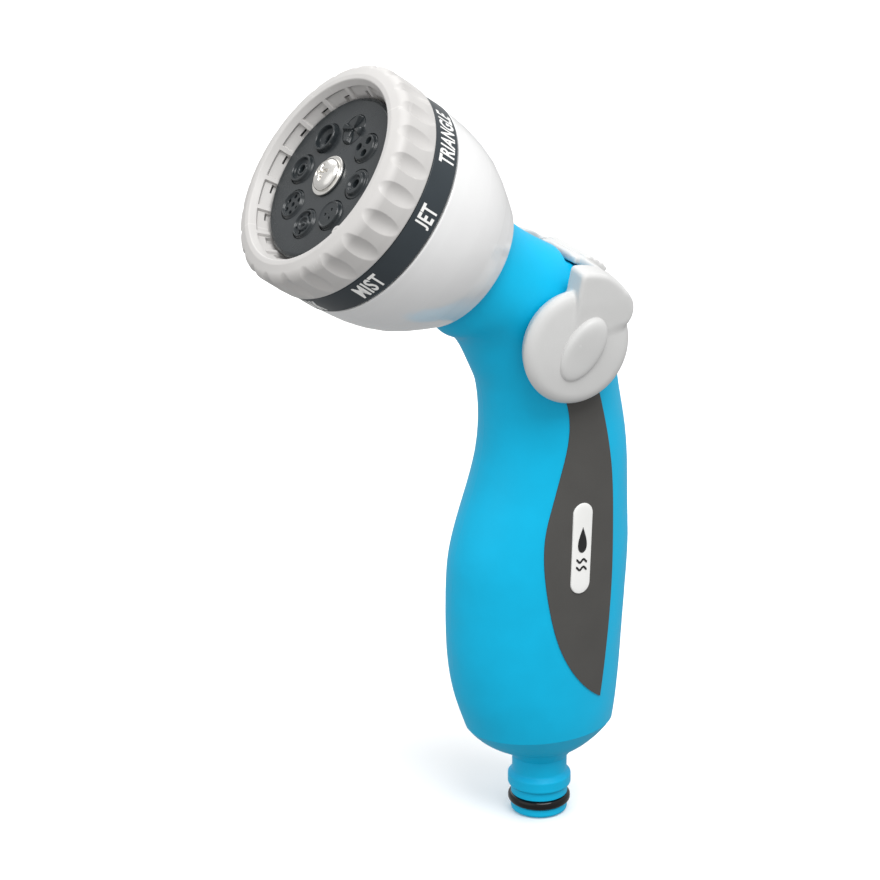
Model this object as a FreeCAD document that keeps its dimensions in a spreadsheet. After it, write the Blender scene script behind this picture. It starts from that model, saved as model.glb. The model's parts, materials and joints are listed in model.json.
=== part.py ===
"""Garden hose spray nozzle: pistol handle, thumb valve lever and eight-way spray dial.

Frame: millimetres, +Z up the handle, origin at the centre of the hose nipple's open end.
The spray head leans forward along -Y and the nozzle is symmetric about the plane x = 0.
Three bodies move: the handle (fixed), the thumb lever and the spray dial.
"""
import FreeCAD, Part
import math
import os
import Sketcher
from FreeCAD import Placement, Rotation, Vector

DIMENSIONS = {
    # hose nipple, measured up from its open end
    "nose_radius": 7.4, "nose_round": 0.8, "seal_groove_radius": 6.0,
    "seal_groove_low": 2.3, "seal_groove_high": 4.9, "nose_top": 7.3,
    "flange_radius": 8.25, "flange_low": 7.7, "flange_high": 10.5,
    "neck_radius": 6.6, "neck_low": 11.3, "inlet_bore": 4.75, "inlet_mouth": 15.0,
    "inlet_throat": 4.2, "inlet_depth": 24.0,
    "nipple_collar_radius": 8.9, "nipple_collar_low": 21.6, "socket_radius": 8.0, "nipple_top": 34.0,
    # handle
    "wall": 2.6, "collar_low": 15.5, "collar_small": 7.0, "collar_large": 9.4, "handle_floor": 18.6,
    "rubber_depth": 1.3, "rubber_proud": 0.25, "badge_proud": 0.55,
    "badge_long": 24.0, "badge_wide": 5.2, "badge_y": 1.7, "badge_z": 79.8, "badge_lean": 3.3,
    "floor_hollow": 9.2, "neck_wall": 4.6, "channel_margin": 8.0, "joint_gap": 0.1,
    "boss_radius": 3.7, "screw_head_radius": 2.9, "screw_shank_radius": 1.4, "screw_head_at": 7.0,
    "screw_head_length": 2.0, "screw_shank_length": 14.0, "screw_clearance": 0.25, "screw_sunk": 0.5,
    # water tubes
    "tube_radius": 5.5, "tube_bore": 3.8, "tube_fit": 0.1, "tube_groove_radius": 4.5,
    "tube_groove_width": 1.3, "tube_groove_at": 4.0, "seal_wire": 0.55,
    "supply_top": 117.8, "socket_low": 108.0, "seat_gap": 0.3,
    # thumb lever and rotary valve, about the pivot
    "pivot_y": -1.7, "pivot_z": 134.8, "rotor_radius": 8.9, "rotor_half": 9.8, "rotor_gap": 0.06,
    "valve_radius": 11.4, "valve_half": 10.6, "port_radius": 3.0, "seat_radius": 4.6,
    "spindle_radius": 5.0, "spindle_half": 18.2, "spindle_gap": 0.3, "rotor_seal_at": 7.6,
    "rotor_seal_wire": 0.8, "outlet_bend": 13.2, "outlet_inner": 14.0,
    "cheek_low": 16.0, "cheek_high": 21.2, "cheek_radius": 14.9, "arm_radius": 19.2,
    "bridge_inner": 18.0, "bridge_outer": 20.4, "bridge_start": 18.0, "bridge_sweep": 59.0,
    "arm_sweep": 74.0, "lever_gap": 0.4,
    "channel_low": -30.0, "channel_top": 79.5,
    "cap_long": 8.6, "cap_short": 5.2, "cap_lean": 58.0, "cap_low": 20.4, "cap_high": 24.2,
    "boss_rim": 1.2, "lever_screw_head": 3.2, "lever_screw_head_height": 1.8,
    "lever_screw_radius": 1.5, "lever_screw_length": 8.0, "lever_screw_gap": 0.2,
    # spray head, measured along its leaning axis
    "head_y": 10.62, "head_z": 129.33, "head_lean": 53.46,
    "bell_back": 41.6, "bell_wall": 2.2, "bell_front": 71.0, "bell_lip_radius": 28.4,
    "bell_back_radius": 16.4, "bell_heel_radius": 18.4, "bell_heel": 43.0,
    "bell_waist_radius": 26.2, "bell_waist": 56.2,
    "spigot_radius": 11.4, "spigot_bore": 8.3, "spigot_low": 33.6,
    "spigot_flange": 12.4, "spigot_flange_thick": 2.4,
    "outlet_low": 24.8, "outlet_high": 64.0, "outlet_socket_high": 33.0, "manifold_low": 54.0,
    "manifold_radius": 26.0, "manifold_back": 68.6, "manifold_rim": 71.5, "manifold_front": 75.5,
    "manifold_cone": 8.0, "manifold_cone_radius": 19.0, "manifold_step_radius": 22.5,
    "chamber_radius": 16.6, "chamber_back": 70.0, "chamber_front": 71.6, "chamber_throat": 5.0,
    "hub_groove_radius": 3.3, "hub_groove_low": 79.4, "hub_groove_high": 80.6,
    "pilot_low": 75.0, "screw_tip": 76.0, "port_seal_depth": 2.6,
    "hub_radius": 4.2, "hub_top": 86.75, "hub_gap": 0.07, "pilot_radius": 1.6,
    "dial_back": 76.2, "dial_web": 2.6, "dial_skirt_low": 71.8, "dial_skirt_radius": 26.3,
    "dial_skirt_wall": 2.2, "dial_top": 83.5, "dial_hub_radius": 7.2, "ports": 8, "port_circle": 12.8,
    "port_phase": 8.0, "dial_port_radius": 2.6,
    "plate_back": 83.8, "plate_front": 86.6, "plate_radius": 21.7, "insert_radius": 4.1,
    "insert_front": 87.7, "band_low": 71.5, "band_high": 78.7, "band_radius": 28.6,
    "ring_low": 78.9, "ring_radius": 29.2, "ring_front": 90.5, "lip_radius": 24.0,
    "flutes": 24, "flute_radius": 5.0, "flute_depth": 0.75, "flute_phase": 9.0,
    "flute_low": 80.2, "flute_high": 89.0, "washer_radius": 5.3, "washer_thick": 0.6,
    "screw_top_radius": 4.4, "screw_top_height": 1.9,
    "click_circle": 18.5, "click_width": 4.0, "click_length": 9.0, "click_thick": 0.4,
    "nub_radius": 1.1, "nub_gap": 0.1, "notch_radius": 1.5, "notch_depth": 0.8, "hub_seal_wire": 0.4,
    "manifold_port": 2.8, "plate_round": 1.2, "insert_edge": 0.4, "ring_shoulder": 86.0,
    "ring_brow_radius": 25.4, "ring_well": 85.6, "ring_bevel": 0.8, "band_bevel": 0.5,
    "washer_bore": 2.0, "screw_top_edge": 0.7, "screw_top_flat": 1.0,
}

# Cross-sections of the handle: ellipses, each with its centre in the plane x = 0,
# its lean from level in degrees, its half depth (front to back) and its half width.
SECTION_PARTS = ("y", "z", "lean", "deep", "wide")
SECTIONS = (
    (-0.3, 26.0, 0.0, 20.0, 15.9), (-1.0, 32.0, 0.0, 21.5, 16.7), (-2.0, 47.5, -1.3, 23.7, 17.7),
    (-1.6, 65.0, -2.4, 24.4, 18.0), (-0.3, 80.5, -1.2, 23.5, 17.5), (1.8, 94.3, -3.4, 21.0, 16.7),
    (2.4, 107.3, -2.3, 19.4, 15.9), (1.0, 119.0, 0.0, 18.6, 15.3), (0.1, 125.5, 8.0, 19.0, 15.1),
    (-3.7, 137.1, 22.6, 19.6, 15.2), (-13.4, 145.9, 39.0, 16.6, 15.4), (-22.0, 154.1, 53.46, 15.7, 15.7),
)
# The rounded floor of the handle: level ellipses from the nipple's collar to the first section.
FLOOR_SECTIONS = ((0.0, 18.6, 9.4, 9.4), (-0.2, 20.2, 13.4, 11.6), (-0.2, 22.6, 16.9, 13.6))

# Outline of the rubber inlay in the side view (y, z): its front edge, then its back edge.
INLAY_FRONT = ((9.2, 36.4), (0.9, 44.2), (-4.1, 53.0), (-7.4, 65.5), (-8.5, 76.2), (-7.9, 84.3),
               (-5.8, 91.9), (-3.5, 99.5), (-1.5, 107.2), (-3.1, 122.0))
INLAY_BACK = ((7.4, 122.0), (10.7, 106.8), (11.9, 97.4), (12.3, 84.5), (12.0, 66.9), (10.7, 49.3))

# Screw bosses that hold the two handle shells together (y, z).
BOSSES = ((-13.0, 40.0), (14.6, 52.0), (-13.5, 76.0), (15.2, 100.0), (-9.8, 104.0))

# A length that reaches right through the nozzle, for cutting tools.
BEYOND = 60.0
# The inlays and badges lie between these distances from the middle plane.
SIDE_LAYER = (6.0, 26.0)

# The eight spray patterns, in order round the dial: name, number of holes, radius of each hole
# and radius of the circle that they stand on.
PATTERNS = (
    ("jet_insert", 1, 1.0, 0.0), ("triangle_insert", 3, 0.7, 1.8), ("fan_insert", 4, 0.7, 1.8),
    ("full_insert", 1, 2.4, 0.0), ("cone_insert", 1, 1.7, 0.0), ("shower_insert", 6, 0.5, 2.4),
    ("soaker_insert", 1, 1.3, 0.0), ("mist_insert", 3, 0.45, 1.4),
)

doc = FreeCAD.newDocument("HoseSprayNozzle")
sheet = doc.addObject("Spreadsheet::Sheet", "Dimensions")
nodes = []


class Size:
    """A number together with the spreadsheet expression that gives it."""

    def __init__(self, value, text=None):
        self.value = float(value)
        self.text = text or repr(float(value))

    def __add__(self, other):
        other = size_of(other)
        return Size(self.value + other.value, f"({self.text} + {other.text})")

    def __sub__(self, other):
        other = size_of(other)
        return Size(self.value - other.value, f"({self.text} - {other.text})")

    def __mul__(self, factor):
        return Size(self.value * factor, f"({self.text} * {factor})")


def size_of(number):
    """A Size as it is, or a plain number as a Size."""
    return number if isinstance(number, Size) else Size(number)


class Sheet:
    """The spreadsheet's cells, read by alias as attributes."""

    def __init__(self):
        self.row = 0

    def write(self, alias, value):
        self.row += 1
        sheet.set(f"A{self.row}", alias)
        sheet.set(f"B{self.row}", str(value))
        sheet.setAlias(f"B{self.row}", alias)
        setattr(self, alias, Size(value, f"Dimensions.{alias}"))


d = Sheet()
for alias, value in DIMENSIONS.items():
    d.write(alias, value)
for number, section in enumerate(SECTIONS, start=1):
    for part, value in zip(SECTION_PARTS, section):
        d.write(f"section_{number}_{part}", value)
doc.recompute()

WORLD = Placement()
# Head frame: local z runs out along the spray axis, local x is the world's x.
HEAD = Placement(Vector(0, d.head_y.value, d.head_z.value), Rotation(Vector(1, 0, 0), d.head_lean.value))
# Lever frame: local z is the world's x, local x is the world's y, local y is the world's z.
LEVER = Placement(Vector(0, d.pivot_y.value, d.pivot_z.value), Rotation(Vector(1, 1, 1), 120))
# The same turn at the world's origin, for pieces that lie across the handle.
ACROSS = Placement(Vector(0, 0, 0), Rotation(Vector(1, 1, 1), 120))


def bind(item, path, size):
    """Tie one property to the spreadsheet."""
    item.setExpression(path, size_of(size).text)


def keep(item, label, frame=WORLD):
    """Mark a finished sub-part: give it its name and its place."""
    item.Label = label
    item.Placement = frame
    nodes.append(item)
    return item


# ---- turned pieces: PartDesign bodies revolved from one outline ----

def arc_between(start, end, radius):
    """The shorter arc from start to end. A positive radius bulges to the left of the way there."""
    chord = end - start
    across = Vector(-chord.y, chord.x, 0).normalize()
    half = chord.Length / 2
    sagitta = abs(radius) - math.sqrt(radius * radius - half * half)
    middle = (start + end) * 0.5 + across * math.copysign(sagitta, radius)
    return Part.Arc(start, middle, end)


def pin_vertex(sketch, geometry, vertex, corner):
    """Fix one corner of a sketch at its two sizes from the origin."""
    for kind, axis, size in (("DistanceX", -2, corner[0]), ("DistanceY", -1, corner[1])):
        size = size_of(size)
        if abs(size.value) < 1e-9:
            sketch.addConstraint(Sketcher.Constraint("PointOnObject", geometry, vertex, axis))
            continue
        constraint = Sketcher.Constraint(kind, -1, 1, geometry, vertex, size.value)
        bind(sketch, f"Constraints[{sketch.addConstraint(constraint)}]", size)


def draw_outline(sketch, corners):
    """Draw a closed outline of (x, y) corners; a third number makes an arc to the next corner."""
    points = [Vector(size_of(corner[0]).value, size_of(corner[1]).value, 0) for corner in corners]
    drawn = []
    for corner, start, end in zip(corners, points, points[1:] + points[:1]):
        if len(corner) == 2:
            drawn.append((sketch.addGeometry(Part.LineSegment(start, end), False), 1, 2))
            continue
        index = sketch.addGeometry(arc_between(start, end, size_of(corner[2]).value), False)
        first = 1 if (sketch.getPoint(index, 1) - start).Length < 1e-6 else 2
        drawn.append((index, first, 3 - first))
        radius = Size(abs(size_of(corner[2]).value), f"abs({size_of(corner[2]).text})")
        number = sketch.addConstraint(Sketcher.Constraint("Radius", index, radius.value))
        bind(sketch, f"Constraints[{number}]", radius)
    for (index, _, end), (following, start, _) in zip(drawn, drawn[1:] + drawn[:1]):
        sketch.addConstraint(Sketcher.Constraint("Coincident", index, end, following, start))
    for (index, start, _), corner in zip(drawn, corners):
        pin_vertex(sketch, index, start, corner)


def new_sketch(body, plane, name):
    """A sketch on one of the body's own origin planes."""
    sketch = body.newObject("Sketcher::SketchObject", name)
    datum = [feature for feature in body.Origin.OriginFeatures if feature.Role == plane][0]
    sketch.AttachmentSupport = [(datum, "")]
    sketch.MapMode = "FlatFace"
    return sketch


def turned_body(name, corners):
    """A body revolved about local z from (radius, height) corners."""
    body = doc.addObject("PartDesign::Body", name)
    sketch = new_sketch(body, "XZ_Plane", f"{name}_outline")
    draw_outline(sketch, corners)
    revolution = body.newObject("PartDesign::Revolution", f"{name}_turned")
    revolution.Profile = sketch
    revolution.ReferenceAxis = (sketch, ["V_Axis"])
    revolution.Angle = 360.0
    sketch.Visibility = False
    return body


def turned(label, corners, frame=WORLD):
    """A turned sub-part."""
    return keep(turned_body(label, corners), label, frame)


def drill_ring(body, name, radius, circle, phase, count, low=None, high=None):
    """Round holes along z on a circle; through everything unless low and high are given."""
    sketch = new_sketch(body, "XY_Plane", f"{name}_sketch")
    centre = Vector(circle.value * math.cos(math.radians(phase.value)),
                    circle.value * math.sin(math.radians(phase.value)), 0)
    index = sketch.addGeometry(Part.Circle(centre, Vector(0, 0, 1), radius.value), False)
    number = sketch.addConstraint(Sketcher.Constraint("Radius", index, radius.value))
    bind(sketch, f"Constraints[{number}]", radius)
    for kind, axis in (("DistanceX", "cos"), ("DistanceY", "sin")):
        value = centre.x if axis == "cos" else centre.y
        if circle.value < 1e-9:
            value = 0.0
        if abs(value) < 1e-9:
            sketch.addConstraint(Sketcher.Constraint("PointOnObject", index, 3, -2 if axis == "cos" else -1))
            continue
        number = sketch.addConstraint(Sketcher.Constraint(kind, -1, 1, index, 3, value))
        sketch.setExpression(f"Constraints[{number}]",
                             f"{circle.text} * {axis}({phase.text} * 1 deg)")
    pocket = body.newObject("PartDesign::Pocket", name)
    pocket.Profile = sketch
    if low is None:
        pocket.Type = "ThroughAll"
        pocket.Midplane = True
    else:
        sketch.AttachmentOffset = Placement(Vector(0, 0, high.value), Rotation())
        bind(sketch, "AttachmentOffset.Base.z", high)
        bind(pocket, "Length", high - low)
    sketch.Visibility = False
    if count.value > 1:
        pattern = body.newObject("PartDesign::PolarPattern", f"{name}_pattern")
        pattern.Originals = [pocket]
        pattern.Axis = ([item for item in body.Origin.OriginFeatures if item.Role == "Z_Axis"][0], [""])
        pattern.Angle = 360.0
        bind(pattern, "Occurrences", count)
        body.Tip = pattern


# ---- simple solids and booleans ----

def cylinder(name, radius, low, high, sweep=None, start=0.0):
    """A cylinder along z from low to high, or a sector of one."""
    low = size_of(low)
    item = doc.addObject("Part::Cylinder", name)
    bind(item, "Radius", radius)
    bind(item, "Height", size_of(high) - low)
    if sweep is not None:
        bind(item, "Angle", sweep)
    item.Placement = Placement(Vector(0, 0, low.value), Rotation(Vector(0, 0, 1), start))
    bind(item, "Placement.Base.z", low)
    return item


def shifted(item, x, y):
    """Move a solid across its own frame."""
    for axis, size in (("x", size_of(x)), ("y", size_of(y))):
        setattr(item.Placement.Base, axis, size.value)
        bind(item, f"Placement.Base.{axis}", size)
    return item


def in_frame(item, frame):
    """Put a solid that was built in a local frame into the world."""
    return fuse(f"{item.Name}_placed", [item], frame)


def fuse(name, items, frame=WORLD):
    """Join solids into one."""
    if len(items) == 1:
        joined = doc.addObject("Part::Compound", name)
        joined.Links = items
    else:
        joined = doc.addObject("Part::MultiFuse", name)
        joined.Shapes = items
    joined.Placement = frame
    return joined


def cut(name, base, tool):
    """Take one solid away from another."""
    item = doc.addObject("Part::Cut", name)
    item.Base = base
    item.Tool = tool
    return item


def common(name, first, second):
    """What two solids share."""
    item = doc.addObject("Part::Common", name)
    item.Base = first
    item.Tool = second
    return item


def torus(name, ring, wire, height):
    """An O-ring about z."""
    item = doc.addObject("Part::Torus", name)
    bind(item, "Radius1", ring)
    bind(item, "Radius2", wire)
    item.Placement.Base = Vector(0, 0, size_of(height).value)
    bind(item, "Placement.Base.z", height)
    return item


# ---- handle ----

def section_ring(number, offset):
    """One cross-section of the handle, grown by offset."""
    y, z, lean, deep, wide = (getattr(d, f"section_{number}_{part}") for part in SECTION_PARTS)
    ring = doc.addObject("Part::Ellipse", "section_ring")
    tilt = math.radians(lean.value)
    along = Vector(0, math.cos(tilt), math.sin(tilt))
    ring.Placement = Placement(Vector(0, y.value, z.value), Rotation(along, Vector(1, 0, 0), Vector(), "XYZ"))
    bind(ring, "MajorRadius", deep + offset)
    bind(ring, "MinorRadius", wide + offset)
    bind(ring, "Placement.Base.y", y)
    bind(ring, "Placement.Base.z", z)
    return ring


def floor_ring(y, z, deep, wide):
    """One level cross-section of the handle's rounded floor."""
    ring = doc.addObject("Part::Ellipse", "floor_ring")
    ring.MajorRadius = deep
    ring.MinorRadius = wide
    ring.Placement = Placement(Vector(0, y, z), Rotation(Vector(0, 1, 0), Vector(1, 0, 0), Vector(), "XYZ"))
    return ring


def loft(name, rings):
    """A smooth solid through a row of rings."""
    item = doc.addObject("Part::Loft", name)
    item.Sections = rings
    item.Solid = True
    return item


def handle_loft(name, offset):
    """The grip, from above its floor to the head, grown by offset."""
    return loft(name, [section_ring(number, offset) for number in range(1, len(SECTIONS) + 1)])


def side_prism(name, edges, low, high):
    """A flat outline in the side view, made solid from x = low to x = high."""
    wire = doc.addObject("Part::Feature", f"{name}_outline")
    wire.Shape = Part.Face(Part.Wire(edges))
    prism = doc.addObject("Part::Extrusion", name)
    prism.Base = wire
    prism.DirMode = "Custom"
    prism.Dir = Vector(1, 0, 0)
    prism.LengthFwd = high
    prism.LengthRev = -low
    prism.Solid = True
    return prism


def spline(points):
    """A smooth edge through side-view points (y, z)."""
    curve = Part.BSplineCurve()
    curve.interpolate([Vector(0, y, z) for y, z in points])
    return curve.toShape()


def inlay_edges():
    """The rubber inlay's outline: two curves that meet at the foot, closed behind the lever."""
    front = spline(INLAY_FRONT)
    back = spline(INLAY_BACK + (INLAY_FRONT[0],))
    top = Part.makeLine(Vector(0, *INLAY_FRONT[-1]), Vector(0, *INLAY_BACK[0]))
    return [front, top, back]


def badge_edges(grow=0.0):
    """A pill shape, leaning a little with the inlay."""
    half = (d.badge_long.value - d.badge_wide.value) / 2
    radius = d.badge_wide.value / 2 + grow
    lean = Rotation(Vector(1, 0, 0), -d.badge_lean.value)
    turn = Placement(Vector(0, d.badge_y.value, d.badge_z.value), lean)
    corners = [Vector(0, -radius, -half), Vector(0, 0, -half - radius), Vector(0, radius, -half),
               Vector(0, radius, half), Vector(0, 0, half + radius), Vector(0, -radius, half)]
    corners = [turn.multVec(corner) for corner in corners]
    return [Part.Arc(*corners[:3]).toShape(), Part.makeLine(corners[2], corners[3]),
            Part.Arc(*corners[3:]).toShape(), Part.makeLine(corners[5], corners[0])]


def half_space(name, side):
    """Everything on one side of the nozzle's middle plane."""
    box = doc.addObject("Part::Box", name)
    box.Length, box.Width, box.Height = BEYOND, BEYOND * 4, BEYOND * 6
    box.Placement.Base = Vector(0 if side > 0 else -BEYOND, -BEYOND * 2, -BEYOND)
    return box


def handle_solid():
    """The outside of the handle: floor, collar round the nipple, grip and neck."""
    grip = handle_loft("grip_outside", 0)
    floor = loft("floor_outside", [floor_ring(*ring) for ring in FLOOR_SECTIONS] + [section_ring(1, 0)])
    collar = doc.addObject("Part::Cone", "collar_outside")
    bind(collar, "Radius1", d.collar_small)
    bind(collar, "Radius2", d.collar_large)
    bind(collar, "Height", d.handle_floor - d.collar_low)
    bind(collar, "Placement.Base.z", d.collar_low)
    return fuse("handle_outside", [grip, floor, collar])


def handle_cavity():
    """The hollow inside the handle, and every hole through its wall."""
    inner = handle_loft("grip_inside", d.wall * -1)
    foot = floor_ring(FLOOR_SECTIONS[0][0], d.handle_floor.value + d.wall.value,
                      d.floor_hollow.value, d.floor_hollow.value)
    floor = loft("floor_inside", [foot, section_ring(1, d.wall * -1)])
    neck_wall = in_frame(cylinder("neck_wall", BEYOND, d.bell_back - d.neck_wall, d.bell_front), HEAD)
    stops = fuse("cavity_stops", [neck_wall, lever_channel("channel_wall", d.wall, d.channel_margin.value)])
    hollow = cut("hollow_to_neck", fuse("hollow", [inner, floor]), stops)
    nipple_hole = cylinder("nipple_hole", d.neck_radius + d.joint_gap, d.neck_low, d.nipple_top)
    spigot_hole = port_along_head("spigot_hole", d.spigot_radius + d.joint_gap, d.spigot_low, d.bell_front)
    flange_room = in_frame(cylinder("flange_room", d.spigot_flange + d.joint_gap, d.spigot_low - d.joint_gap,
                                    d.spigot_low + d.spigot_flange_thick + d.joint_gap), HEAD)
    square_end = in_frame(cylinder("neck_end", BEYOND, d.bell_back - d.joint_gap, d.bell_front), HEAD)
    spindle = cylinder("spindle_hole", d.spindle_radius + d.spindle_gap, d.spindle_half * -1, d.spindle_half)
    half = d.valve_half + d.joint_gap
    valve = cylinder("valve_seat", d.valve_radius + d.joint_gap, half * -1, half)
    across = fuse("lever_holes", [spindle, valve], LEVER)
    return [hollow, nipple_hole, spigot_hole, flange_room, square_end, across]


def lever_channel(name, depth=0, margin=0):
    """The hollow in the handle's back that the lever's bridge swings through.

    A depth and a margin in degrees grow it, for the wall that stays round it.
    """
    start = d.channel_low.value - margin
    sweep = d.channel_top.value + margin - start
    outer = cylinder(f"{name}_outer", BEYOND, -BEYOND, BEYOND, sweep, start)
    inner = cylinder(f"{name}_inner", d.bridge_inner - d.lever_gap - depth, -BEYOND, BEYOND)
    return in_frame(cut(f"{name}_band", outer, inner), LEVER)


def side_layer(side):
    """The range of x that holds one side's inlay and badge."""
    return sorted(side * limit for limit in SIDE_LAYER)


def boss_parts():
    """Posts for the shell screws, and the holes in them."""
    posts, holes = [], []
    for y, z in BOSSES:
        posts.append(shifted(cylinder("boss", d.boss_radius, -BEYOND, BEYOND), y, z))
        shank = cylinder("screw_hole", d.screw_shank_radius, d.screw_head_at * -1,
                         d.screw_shank_length - d.screw_head_at + d.screw_sunk)
        head = cylinder("screw_well", d.screw_head_radius + d.screw_clearance, -BEYOND, d.screw_head_at * -1)
        holes += [shifted(shank, y, z), shifted(head, y, z)]
    return fuse("bosses", posts, ACROSS), fuse("boss_holes", holes, ACROSS)


def build_handle():
    """The two shells, the rubber inlays and the blank badges."""
    outside = handle_solid()
    posts, holes = boss_parts()
    posts = common("bosses_inside", posts, outside)
    bed = handle_loft("inlay_bed", d.rubber_depth * -1)
    pockets = []
    for side, name in ((1, "right"), (-1, "left")):
        pockets.append(side_prism(f"pocket_{name}", inlay_edges(), *side_layer(side)))
    pocket = cut("pocket_tool", fuse("pockets", pockets), bed)
    hollow = handle_cavity()
    walls = cut("walls_first", outside, fuse("cavity", hollow[:1]))
    walls = fuse("walls_with_bosses", [walls, posts])
    tools = fuse("handle_tools", hollow[1:] + [pocket, lever_channel("lever_channel"), holes])
    shell = cut("shell", walls, tools)
    rubber = cut("rubber_layer", handle_loft("rubber_outside", d.rubber_proud), bed)
    badge_skin = cut("badge_layer", handle_loft("badge_outside", d.badge_proud), bed)
    for side, name in ((1, "right"), (-1, "left")):
        reach = side_layer(side)
        keep(common(f"shell_{name}", shell, half_space(f"half_{name}", side)), f"handle_shell_{name}")
        pill = side_prism(f"pill_{name}", badge_edges(), *reach)
        whole = common(f"inlay_{name}", rubber, side_prism(f"prism_{name}", inlay_edges(), *reach))
        keep(cut(f"inlay_pierced_{name}", whole, pill), f"grip_inlay_{name}")
        keep(common(f"badge_{name}_shape", badge_skin, pill), f"badge_{name}")


def build_screws():
    """The screws that join the shells, put in from the left side."""
    solids = []
    for y, z in BOSSES:
        head = cylinder("screw_head", d.screw_head_radius, (d.screw_head_at + d.screw_head_length) * -1,
                        d.screw_head_at * -1)
        shank = cylinder("screw_shank", d.screw_shank_radius, d.screw_head_at * -1 - d.screw_sunk,
                         d.screw_shank_length - d.screw_head_at)
        joined = fuse("screw", [head, shank])
        solids.append(shifted(joined, y, z))
    keep(fuse("shell_screws", solids), "handle_screws", ACROSS)


def build_inlet():
    """The hose nipple with its O-ring."""
    turned("inlet_nipple", [
        (d.inlet_bore, 0), (d.nose_radius - d.nose_round, 0, d.nose_round * -1),
        (d.nose_radius, d.nose_round), (d.nose_radius, d.seal_groove_low),
        (d.seal_groove_radius, d.seal_groove_low), (d.seal_groove_radius, d.seal_groove_high),
        (d.nose_radius, d.seal_groove_high), (d.nose_radius, d.nose_top),
        (d.flange_radius, d.flange_low), (d.flange_radius, d.flange_high),
        (d.neck_radius, d.neck_low), (d.neck_radius, d.nipple_collar_low),
        (d.nipple_collar_radius, d.nipple_collar_low), (d.nipple_collar_radius, d.inlet_depth),
        (d.socket_radius, d.inlet_depth), (d.socket_radius, d.nipple_top),
        (d.tube_radius + d.tube_fit, d.nipple_top), (d.tube_radius + d.tube_fit, d.inlet_depth),
        (d.inlet_throat, d.inlet_depth), (d.inlet_throat, d.inlet_mouth),
        (d.inlet_bore, d.inlet_mouth)])
    wire = (d.flange_radius - d.seal_groove_radius) * 0.49
    middle = (d.seal_groove_low + d.seal_groove_high) * 0.5
    keep(fuse("inlet_seal", [torus("inlet_ring", d.seal_groove_radius + wire, wire, middle)]), "inlet_o_ring")


def tube_outline(low, high):
    """A water tube with a seal groove near each end."""
    near, far = low + d.tube_groove_at, high - d.tube_groove_at
    width = d.tube_groove_width
    return [(d.tube_bore, low), (d.tube_radius, low),
            (d.tube_radius, near), (d.tube_groove_radius, near),
            (d.tube_groove_radius, near + width), (d.tube_radius, near + width),
            (d.tube_radius, far - width), (d.tube_groove_radius, far - width),
            (d.tube_groove_radius, far), (d.tube_radius, far),
            (d.tube_radius, high), (d.tube_bore, high)]


def tube_rings(name, low, high):
    """The two O-rings on a water tube."""
    ring = d.tube_groove_radius + d.seal_wire
    middle = d.tube_groove_at + d.tube_groove_width * 0.5
    return [torus(f"{name}_lower", ring, d.seal_wire, low + middle),
            torus(f"{name}_upper", ring, d.seal_wire, high - middle)]


def build_tubes():
    """The supply tube up the handle, the outlet tube in the neck, and their four O-rings."""
    low = d.inlet_depth + d.joint_gap
    turned("supply_tube", tube_outline(low, d.supply_top))
    turned("outlet_tube", tube_outline(d.outlet_low, d.outlet_high), HEAD)
    supply = tube_rings("supply_seal", low, d.supply_top)
    outlet = tube_rings("outlet_seal", d.outlet_low, d.outlet_high)
    keep(fuse("tube_rings", supply + [fuse("outlet_rings", outlet, HEAD)]), "tube_seals")


# ---- rotary valve and thumb lever ----

def port_along_head(name, radius, low, high):
    """A round passage along the spray axis."""
    return in_frame(cylinder(name, radius, low, high), HEAD)


def build_valve_body():
    """The valve's barrel across the handle, with an inlet socket below and an outlet socket ahead."""
    barrel = in_frame(cylinder("barrel", d.valve_radius, d.valve_half * -1, d.valve_half), LEVER)
    lower = cylinder("lower_socket", d.socket_radius, d.socket_low, d.pivot_z)
    upper = port_along_head("upper_socket", d.socket_radius, d.outlet_inner, d.outlet_socket_high)
    block = fuse("valve_block", [barrel, lower, upper])
    bore = in_frame(cylinder("rotor_bore", d.rotor_radius + d.rotor_gap, -BEYOND, BEYOND), LEVER)
    fit = d.tube_radius + d.tube_fit
    tools = [bore, cylinder("lower_fit", fit, d.socket_low - 1, d.supply_top + d.joint_gap),
             cylinder("lower_seat_hole", d.seat_radius, d.socket_low, d.pivot_z),
             port_along_head("upper_fit", fit, d.outlet_low - d.joint_gap, d.outlet_socket_high + 1),
             port_along_head("upper_seat_hole", d.seat_radius, d.outlet_inner, d.outlet_socket_high)]
    keep(cut("valve_casting", block, fuse("valve_tools", tools)), "valve_body")
    clear = in_frame(cylinder("rotor_clear", d.rotor_radius + d.rotor_gap, -BEYOND, BEYOND), LEVER)
    seats = (("inlet_seat", cylinder("inlet_plug", d.seat_radius, d.supply_top + d.seat_gap, d.pivot_z),
              cylinder("inlet_port", d.port_radius, d.socket_low, d.pivot_z)),
             ("outlet_seat",
              port_along_head("outlet_plug", d.seat_radius, d.outlet_inner, d.outlet_low - d.seat_gap),
              port_along_head("outlet_port", d.port_radius, 0, d.outlet_socket_high)))
    for label, plug, port in seats:
        keep(cut(f"{label}_ring", plug, fuse(f"{label}_tools", [clear, port])), label)


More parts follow.
